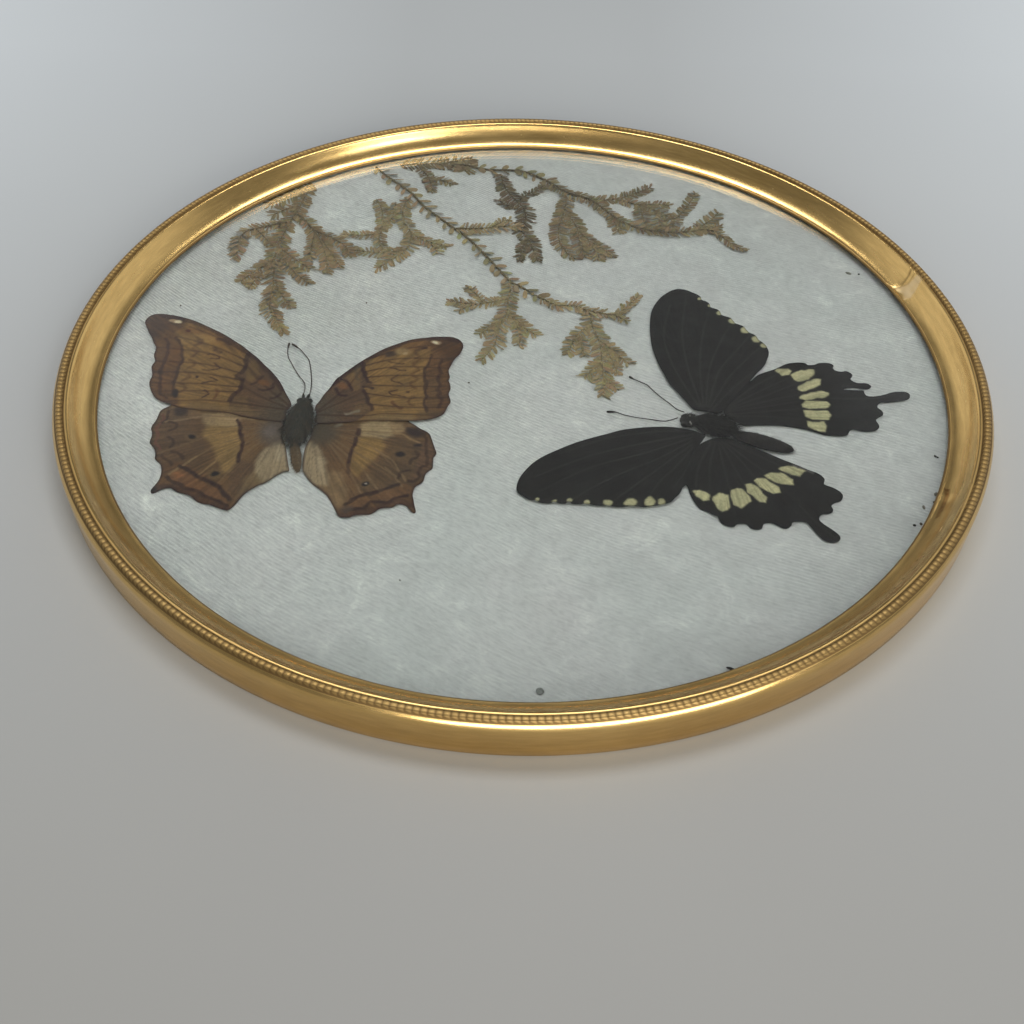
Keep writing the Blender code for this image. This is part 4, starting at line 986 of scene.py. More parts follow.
            ((106, 84, 57), 1.2, 0.7, [(-36.4, -16.8), (-33.6, -17), (-32.8, -20), (-36.4, -21)]),
            ((126, 103, 68), 0.8, 0.8, [(-33.4, -20.9), (-30, -20.1), (-23.6, -20.2), (-22.4, -21.9),
                (-33.4, -22.6)]),
            ((96, 78, 56), 1.6, 0.8, [(-22.4, -18.6), (-16.8, -18.4), (-17.6, -22), (-23.2, -22.4)]),
            (wornGrey, 4.5, 0.9, [(-46, -26), (-47, -14), (-42.8, -14), (-40, -18), (-38.6, -24)])],
        "veins": [(*darkVein, line) for line in (
            [(-35.6, -1.8), (-28.5, 2), (-21, 4)], [(-35.6, -4), (-28.5, -1.2), (-15.4, -0.6)],
            [(-35.2, -6), (-28.5, -4), (-16.5, -4)], [(-34.8, -8), (-28, -7), (-16.5, -7)],
            [(-34.2, -10.6), (-27, -10.6), (-16.2, -10.4)], [(-34.2, -13.4), (-26, -14.6), (-16, -14)],
            [(-33.4, -17), (-26, -17.6), (-16.4, -17.4)],
            [(-44, -20.8), (-34, -20.8), (-29.4, -19.9), (-18.4, -20.2)],
            [(-44, -19.6), (-39, -12), (-35.8, -4.6)], [(-44, -20), (-38, -15.4), (-34.4, -12.2)])],
        "strokes": [
            (darkUmber, 0.35, 0.4, 0.9, [(-20.9, 0.4), (-21.3, -2), (-22, -5), (-22, -7.4), (-21.4, -9.3),
                (-21.5, -12), (-20.8, -14), (-21.4, -15.4), (-21.1, -17.2), (-20.4, -18.8)]),
            (darkUmber, 0.3, 0.5, 0.8, [(-18.4, -1), (-18.9, -4), (-18.3, -6), (-19, -7.8), (-18.3, -10),
                (-18.8, -11.5), (-18.2, -12.6), (-18.7, -13.6), (-17.6, -15), (-18.3, -17.4)]),
            (darkUmber, 0.5, 0.7, 0.85, [(-15.4, 5.8), (-20, 6.7), (-26.4, 5.2), (-33, 0.4), (-38.4, -5.4),
                (-41.6, -10.4)]),
            (darkUmber, 0.8, 0.4, 0.95, [(-36.2, -3.2), (-35.8, -5.4), (-35.3, -6.8)]),
            (darkUmber, 0.5, 0.4, 0.95, [(-35.1, -7.4), (-34.4, -9.2), (-33.7, -9.9)]),
            (darkUmber, 0.4, 0.35, 0.95, [(-34.9, -11.2), (-34, -11.1), (-33.1, -11.5)]),
            (darkUmber, 0.5, 0.4, 0.95, [(-34.8, -12.5), (-33.9, -14.5), (-33.7, -16), (-32.6, -17.5),
                (-32.2, -18.8)]),
            (*zigzag, [(-30.2, -2.2), (-28.5, -2.8), (-27, -2.9)]),
            (*zigzag, [(-29.8, -4.4), (-28.6, -4.8), (-27.3, -5.4), (-26.2, -5.3)]),
            (*zigzag, [(-27.8, -7), (-29.3, -8.2), (-28.3, -9.2), (-26.8, -9.9)]),
            (*zigzag, [(-27.6, -12), (-29.2, -12.7), (-27.8, -13.8), (-25.8, -14.3)]),
            ((82, 53, 38), 0.35, 0.4, 0.8, [(-28.2, -16), (-27.4, -17.2), (-26.2, -18)]),
            (darkUmber, 0.42, 0.3, 0.9, [(-40.3, -8.9), (-38.9, -9.6), (-38.1, -11.2), (-37.5, -12.4)]),
            (darkUmber, 0.45, 0.3, 0.9, [(-41, -12), (-40.5, -13.6), (-39.5, -14.4), (-38.6, -14.3)]),
            ((140, 130, 108), 0.25, 0.4, 0.8, [(-37.9, -20.4), (-36.5, -19.8), (-35.3, -19.3)]),
            ((74, 68, 60), 0.3, 0.6, 0.6, [(-37, -4), (-37.4, -6.4), (-36.8, -8.6)])] +
        [(*faintZigzag, [(-23.4, y + 1.4), (-24.9, y), (-23.6, y - 1.4)]) for y in (
            1.4, -2.8, -6.4, -9.8, -15.6)],
        "dabs": [
            ((118, 82, 54), (-39.7, -11.2), (1.3, 0.8), -42, 0.9, 0.8),
            ((60, 50, 46), (-30.2, 0.3), (1.5, 0.95), 20, 0.9, 0.9),
            ((142, 119, 82), (-27.7, 1.4), (1.7, 1.2), 10, 0.9, 0.85),
            ((170, 145, 108), (-27.1, 0.8), (0.5, 0.4), 0, 0.9, 0.9),
            (darkUmber, (-22.6, 2.8), (0.8, 0.42), 15, 0.6, 0.9),
            ((78, 56, 38), (-24.4, -0.7), (0.5, 0.4), 0, 0.8, 0.9),
            ((70, 48, 38), (-25.3, -12.5), (0.5, 0.35), 0, 0.8, 0.9),
            ((176, 150, 116), (-20.2, 5.1), (1.1, 0.62), -8, 0.7, 0.9),
            ((230, 210, 175), (-20.3, 5.1), (0.6, 0.38), -8, 0.7, 1.0)]},
    "brown_left_hindwing": {
        "points": [(-74.0, -17.6), (-76.2, -19.1), (-77.1, -19.8), (-77.8, -20.8), (-77.9, -22.1),
            (-78.0, -23.8), (-78.4, -25.2), (-78.4, -26.4), (-78.0, -27.4), (-77.7, -28.8), (-77.7, -30.5),
            (-77.1, -31.4), (-76.2, -32.6), (-75.6, -34.1), (-75.4, -35.4), (-74.6, -36.3), (-73.9, -37.0),
            (-73.4, -38.2), (-73.1, -39.6), (-73.1, -41.4), (-73.5, -42.9), (-73.9, -43.9), (-74.0, -44.6),
            (-73.7, -45.3), (-73.1, -45.2), (-72.4, -44.5), (-71.5, -43.9), (-70.3, -43.7), (-69.6, -44.1),
            (-68.6, -44.8), (-67.2, -45.2), (-65.9, -45.7), (-64.9, -46.6), (-63.9, -47.4), (-62.8, -47.8),
            (-61.5, -48.0), (-60.2, -48.6), (-58.9, -49.1), (-57.8, -49.4), (-57.2, -49.1), (-56.5, -48.0),
            (-56.1, -47.0), (-55.6, -45.8), (-54.9, -44.5), (-54.0, -43.5), (-52.8, -42.3), (-51.6, -41.6),
            (-50.8, -40.8), (-49.6, -39.4), (-48.4, -38.3), (-47.3, -37.9), (-47.8, -35.8), (-48.5, -33.2),
            (-49.2, -30.5), (-50.4, -27.5), (-50.8, -23.6), (-55.0, -20.5), (-62.0, -18.0)],
        "root": (-50.0, -23.0),
        "rays": 64,
        "streak": 0.32,
        "ground": (100, 78, 55),
        "edge": ((52, 38, 29), 0.7, 0.75),
        "areas": [
            ((106, 86, 63), 1.2, 0.8, [(-77.5, -20), (-74, -17), (-66, -19), (-62, -21), (-66, -22.4),
                (-72, -23), (-77.4, -25)]),
            ((92, 73, 54), 2.2, 0.95, [(-80, -25), (-75, -23.6), (-69.5, -23.4), (-66.8, -25.2),
                (-67.6, -28.5), (-65.3, -32), (-64.2, -36), (-66.4, -40), (-77, -39), (-81, -31)]),
            (umber, 1.0, 0.7, [(-73.6, -37), (-70, -36), (-62, -41), (-57.6, -46), (-57, -50), (-64, -48.6),
                (-74, -46)]),
            ((148, 126, 92), 1.5, 0.9, [(-68.2, -21.7), (-64, -20.6), (-60.9, -21), (-59.9, -23),
                (-60.2, -25.6), (-66.3, -25.4), (-68, -23.5)]),
            ((133, 107, 68), 1.4, 1.0, [(-66.6, -25), (-60.1, -25.2), (-58.8, -29), (-58.3, -33),
                (-58.6, -38.5), (-60.5, -39), (-62.5, -35.4), (-64.4, -31), (-67.5, -27.5)]),
            ((108, 84, 58), 1.2, 0.9, [(-59.8, -22), (-55, -23.6), (-53, -25), (-54, -30), (-55.2, -34),
                (-54.6, -38), (-57.6, -41), (-58.4, -36), (-58.1, -31), (-59.2, -26)]),
            ((90, 71, 54), 1.6, 0.8, [(-58.2, -35), (-54.6, -36), (-53.8, -42), (-56, -46), (-58.6, -44),
                (-59.4, -39)]),
            ((108, 79, 55), 0.8, 0.9, [(-71.2, -39.2), (-69.2, -38.5), (-66.4, -39.8), (-65, -41.3),
                (-61, -43.2), (-58.6, -46.6), (-60.5, -46.4), (-63.2, -45.3), (-67.2, -43.3),
                (-71, -41.4)]),
            ((136, 94, 60), 0.8, 0.7, [(-70.8, -39.3), (-69.2, -39), (-68, -40.4), (-69.6, -41)]),
            (cream, 1.4, 0.95, [(-53.4, -31.4), (-50.6, -28.8), (-48.6, -30), (-46.8, -37.8),
                (-49.5, -40.4), (-52.6, -42), (-54.2, -38.6), (-54.4, -34)]),
            ((118, 98, 70), 1.6, 0.8, [(-54.6, -38.5), (-51.6, -41.4), (-54, -44.2), (-56.4, -46),
                (-56.2, -41)]),
            ((160, 144, 118), 1.6, 0.7, [(-51.2, -30.4), (-49.4, -30.6), (-48.6, -34), (-50.4, -35)])],
        "veins": [(*lightVein, line) for line in (
            [(-53.5, -24.3), (-57.5, -22.8), (-61.6, -22), (-66.4, -22.1), (-70, -22.7), (-76, -24.2)],
            [(-54, -25), (-62, -26.5), (-69, -30.2), (-75.4, -34)],
            [(-54, -26), (-62, -30), (-67, -34.5), (-71.8, -39.8)],
            [(-54, -27), (-60, -32), (-62.6, -35.3), (-65.4, -40)],
            [(-53.6, -28), (-58, -35), (-61.3, -43)])],
        "strokes": [
            ((132, 110, 82), 0.25, 0.25, 0.9, [(-76, -24.2), (-70, -22.6), (-66.4, -22), (-61.6, -22),
                (-57.5, -22.7)]),
            ((138, 114, 80), 0.22, 0.22, 0.9, [(-67, -34.5), (-69, -36.9), (-71.6, -39.8)]),
            ((134, 108, 72), 0.22, 0.22, 0.85, [(-62.6, -35.3), (-64, -37.6), (-65.4, -39.8)]),
            (darkUmber, 0.5, 0.35, 1.0, [(-60.6, -22.9), (-59.8, -24.6), (-59.5, -26.5), (-58.7, -29),
                (-58.2, -31.2), (-58.3, -33), (-58.2, -35.5)]),
            (*scallop, [(-75, -24.2), (-73.6, -24.4), (-73.1, -25.4), (-73.6, -26.5), (-74.4, -26.7)]),
            (*scallop, [(-74.2, -28.7), (-72.9, -29.6), (-72.5, -30.8), (-73, -31.9)]),
            (*scallop, [(-72.4, -33.3), (-70.6, -33.8), (-69.4, -35)]),
            ((58, 44, 40), 0.35, 0.35, 0.8, [(-74.2, -34.5), (-72.6, -35.9), (-71.6, -36.9)]),
            ((112, 72, 58), 0.3, 0.4, 0.7, [(-76.9, -22), (-76.5, -24), (-77.2, -26), (-76.4, -28.6),
                (-76.6, -30.4), (-75, -32.4)]),
            ((56, 42, 38), 0.3, 0.35, 0.8, [(-76, -20.8), (-75.9, -23), (-76.3, -24.4)]),
            ((50, 40, 38), 0.6, 0.4, 0.95, [(-69.8, -37.5), (-68.2, -38.2), (-66.8, -39.3), (-65, -40.5),
                (-62.6, -41.8), (-60.8, -43.1), (-59.2, -45), (-57.8, -46.4)]),
            ((52, 41, 38), 0.5, 0.4, 0.95, [(-71.7, -40.6), (-70.6, -41.8), (-68.6, -42.6), (-67.4, -43.6),
                (-64.6, -44.3), (-63.2, -45.6), (-60.5, -46.6), (-58, -48.2)]),
            ((70, 52, 46), 0.5, 0.8, 0.7, [(-72.6, -43.4), (-69.8, -43.2), (-65.6, -45.2), (-61.6, -47.4),
                (-58, -48.9)])],
        "dabs": [
            ((58, 49, 47), (-73.3, -20.6), (1.7, 1.5), -20, 0.8, 0.9),
            ((104, 84, 60), (-69.3, -28.5), (1.5, 1.3), 0, 0.6, 0.75),
            ((44, 40, 40), (-69.2, -28.5), (0.85, 0.7), -20, 0.7, 1.0),
            ((106, 86, 60), (-62.1, -39.3), (1.6, 1.5), 0, 0.6, 0.75),
            ((42, 38, 34), (-62.1, -39.3), (0.85, 0.7), 30, 0.7, 1.0),
            ((92, 82, 72), (-52.4, -26.2), (3.4, 4.2), 10, 1.0, 0.95),
            ((112, 100, 92), (-53.2, -26.2), (1.3, 1.6), 0, 1.0, 0.6),
            ((46, 38, 35), (-73.5, -44.6), (0.9, 1.1), 0, 0.9, 0.9)]},
    "brown_right_hindwing": {
        "points": [(-27.0, -19.4), (-24.0, -22.1), (-22.8, -23.0), (-21.6, -24.1), (-20.3, -24.9),
            (-19.4, -25.8), (-19.0, -26.9), (-18.6, -28.2), (-18.1, -29.8), (-17.6, -31.4), (-17.8, -32.3),
            (-18.1, -32.9), (-18.1, -34.4), (-18.1, -36.1), (-18.8, -36.9), (-19.4, -37.9), (-19.6, -39.4),
            (-20.0, -40.4), (-21.0, -41.3), (-21.4, -42.3), (-21.5, -43.8), (-21.2, -45.2), (-20.9, -46.7),
            (-20.5, -48.2), (-20.7, -48.8), (-21.3, -48.6), (-21.9, -47.7), (-22.6, -46.9), (-23.5, -46.5),
            (-24.4, -46.6), (-25.3, -47.4), (-26.8, -47.6), (-27.9, -48.0), (-28.7, -48.9), (-29.7, -49.5),
            (-31.2, -49.6), (-32.6, -49.9), (-33.5, -50.4), (-34.9, -50.5), (-35.7, -50.1), (-36.3, -48.9),
            (-36.8, -47.9), (-37.6, -46.4), (-38.7, -44.6), (-40.0, -43.2), (-41.6, -41.9), (-43.1, -40.2),
            (-44.1, -38.5), (-44.6, -37.6), (-44.9, -35.5), (-45.1, -33.0), (-45.0, -30.3), (-44.4, -27.5),
            (-44.1, -24.0), (-40.0, -20.5), (-34.0, -19.0)],
        "root": (-44.5, -24.0),
        "rays": 60,
        "streak": 0.32,
        "ground": (101, 79, 56),
        "edge": ((52, 38, 29), 0.7, 0.75),
        "areas": [
            ((92, 74, 54), 2.2, 0.95, [(-27.5, -27.8), (-24, -27), (-22, -24), (-18, -26), (-16, -31),
                (-17, -37), (-20, -41), (-24, -41.5), (-29, -43), (-32.8, -44), (-31.4, -38), (-29.4, -34),
                (-28.4, -31)]),
            ((100, 77, 58), 1.0, 0.8, [(-20, -26.4), (-18, -31), (-18.4, -35.5), (-19.8, -38.6),
                (-22, -39.6), (-21.2, -34), (-20.9, -30)]),
            (umber, 1.0, 0.7, [(-20, -40), (-24, -41), (-33, -45), (-36.5, -50), (-33, -52), (-19, -50)]),
            ((150, 130, 97), 1.5, 0.9, [(-34.3, -23.2), (-32, -22.2), (-28.4, -22.2), (-27.3, -24.3),
                (-27, -26.5), (-29, -27.6), (-33.6, -27.3), (-34.2, -25.4)]),
            ((136, 114, 83), 0.9, 0.9, [(-28.3, -22.4), (-25.4, -22.6), (-24.6, -24.6), (-26.4, -26),
                (-27.6, -24.6)]),
            ((128, 102, 63), 1.4, 1.0, [(-34.6, -27.2), (-29.5, -27.7), (-28.4, -30), (-30, -33),
                (-31.6, -36), (-33, -39), (-34.6, -38.4), (-35, -34), (-34.8, -30)]),
            ((108, 81, 56), 0.8, 0.9, [(-32.8, -44.8), (-28.8, -43.6), (-24.8, -41.9), (-23.6, -44.2),
                (-26.6, -45.8), (-29.6, -45.8), (-31, -47.4), (-34, -48.2), (-34.6, -46.6)]),
            ((103, 80, 56), 1.2, 0.85, [(-35, -23.4), (-39, -23.4), (-43, -27), (-41, -30.5), (-39.5, -34),
                (-37.5, -38), (-36, -43), (-35, -44), (-34.5, -40), (-35.4, -35), (-35.3, -30),
                (-35, -26)]),
            ((120, 99, 72), 2.0, 0.85, [(-41.8, -42), (-38.6, -37.6), (-36.6, -38), (-34.6, -43),
                (-34.6, -47), (-36.6, -48.4), (-38.2, -45.6)]),
            (cream, 1.4, 0.95, [(-46, -31), (-44.4, -29), (-42.4, -30), (-40.6, -34), (-39.4, -38.3),
                (-38.6, -41.8), (-42, -41.9), (-45, -37.6)]),
            ((162, 144, 116), 1.4, 0.8, [(-42.6, -33.4), (-41.4, -34), (-40, -37.6), (-40.6, -39),
                (-42, -37)])],
        "veins": [(*lightVein, line) for line in (
            [(-41, -25), (-34.5, -25.4), (-27.3, -25.7), (-24.7, -26.3), (-21.4, -28.6)],
            [(-41, -26), (-34, -28.6), (-30.3, -30.9), (-25, -37.2), (-23.2, -40)],
            [(-41, -27), (-35, -31.6), (-30, -35), (-25.6, -38.8), (-23.8, -41.8)],
            [(-41, -28), (-35, -34), (-31.2, -38.5), (-28.1, -43.4)],
            [(-40.6, -29), (-36, -36), (-33, -41.5), (-31.8, -44)])],
        "strokes": [
            (*paleVein, [(-30.3, -30.9), (-27, -33.6), (-24.5, -37.5), (-23.2, -40)]),
            (*paleVein, [(-27.7, -36), (-25.5, -38.8), (-23.8, -41.5)]),
            (*paleVein, [(-31.2, -38.5), (-29.8, -41), (-28.1, -43.3)]),
            ((130, 104, 74), 0.2, 0.22, 0.8, [(-33, -41.5), (-31.8, -43.9)]),
            ((140, 114, 80), 0.22, 0.25, 0.85, [(-27.3, -25.7), (-24.7, -26.3), (-21.4, -28.6)]),
            (darkUmber, 0.75, 0.3, 1.0, [(-34.5, -25.1), (-34.6, -26.3)]),
            (darkUmber, 0.5, 0.35, 1.0, [(-34.8, -27.5), (-35, -30), (-35.4, -32.5), (-35.3, -35)]),
            (darkUmber, 0.3, 0.5, 0.6, [(-35.3, -35), (-35.2, -38)]),
            ((52, 41, 38), 0.5, 0.4, 0.95, [(-24.5, -40.9), (-26, -41.6), (-28.5, -43.1), (-30.2, -43.9),
                (-32.2, -44.4), (-33.6, -45.8), (-34.6, -46.9)]),
            ((52, 41, 38), 0.5, 0.4, 0.95, [(-22.5, -44), (-24.4, -44.6), (-26.3, -46.1), (-27.5, -46),
                (-29.7, -46.1), (-30.8, -47.9), (-33, -48.2), (-34.5, -48.8)]),
            ((56, 43, 38), 0.35, 0.35, 0.85, [(-24.9, -39), (-24.4, -37.5), (-22.8, -37)]),
            ((56, 43, 38), 0.35, 0.4, 0.8, [(-21.9, -31), (-21.3, -32.8), (-22.6, -33.6), (-22.9, -34.8)]),
            ((56, 43, 38), 0.35, 0.35, 0.85, [(-20.6, -38.5), (-21.3, -39.8), (-22.8, -39.8)]),
            ((60, 44, 38), 0.3, 0.4, 0.8, [(-20.9, -25.2), (-20, -27.5), (-19.8, -30.5), (-19.5, -33),
                (-19.4, -35.2), (-20.6, -36.2), (-20.7, -38)]),
            ((70, 52, 46), 0.5, 0.8, 0.7, [(-21.6, -46.4), (-24.6, -45.6), (-27.4, -47.2), (-30.6, -48.6),
                (-34.6, -49.8)]),
            ((136, 126, 108), 0.25, 0.5, 0.7, [(-39.6, -24.2), (-38.6, -23.3)])],
        "dabs": [
            ((56, 47, 45), (-22.7, -25.3), (2.1, 1.3), -30, 0.8, 0.95),
            ((98, 79, 57), (-25.2, -32.1), (2.1, 1.7), 0, 0.6, 0.75),
            ((45, 41, 39), (-25.1, -32.1), (1.05, 0.85), -15, 0.7, 1.0),
            ((106, 86, 60), (-31.3, -41.2), (1.5, 1.4), 0, 0.6, 0.75),
            ((42, 37, 34), (-31.3, -41.2), (0.85, 0.75), 0, 0.6, 1.0),
            ((176, 166, 152), (-31.2, -41.1), (0.28, 0.22), 0, 0.8, 1.0),
            ((50, 44, 45), (-21.8, -29.3), (0.9, 0.6), 20, 0.8, 0.9),
            ((78, 71, 59), (-42.3, -26.3), (3.6, 3.6), 0, 1.2, 0.9),
            ((86, 74, 64), (-34.2, -48.2), (1.3, 0.9), 30, 0.9, 0.7)]},
}
makeWings(brownWings, wingFinish("brown_wing_scales", 0.62, 0.12, (1.0, 0.86, 0.7), 0.5), "brown_wing", 100)
print("brown wings painted")

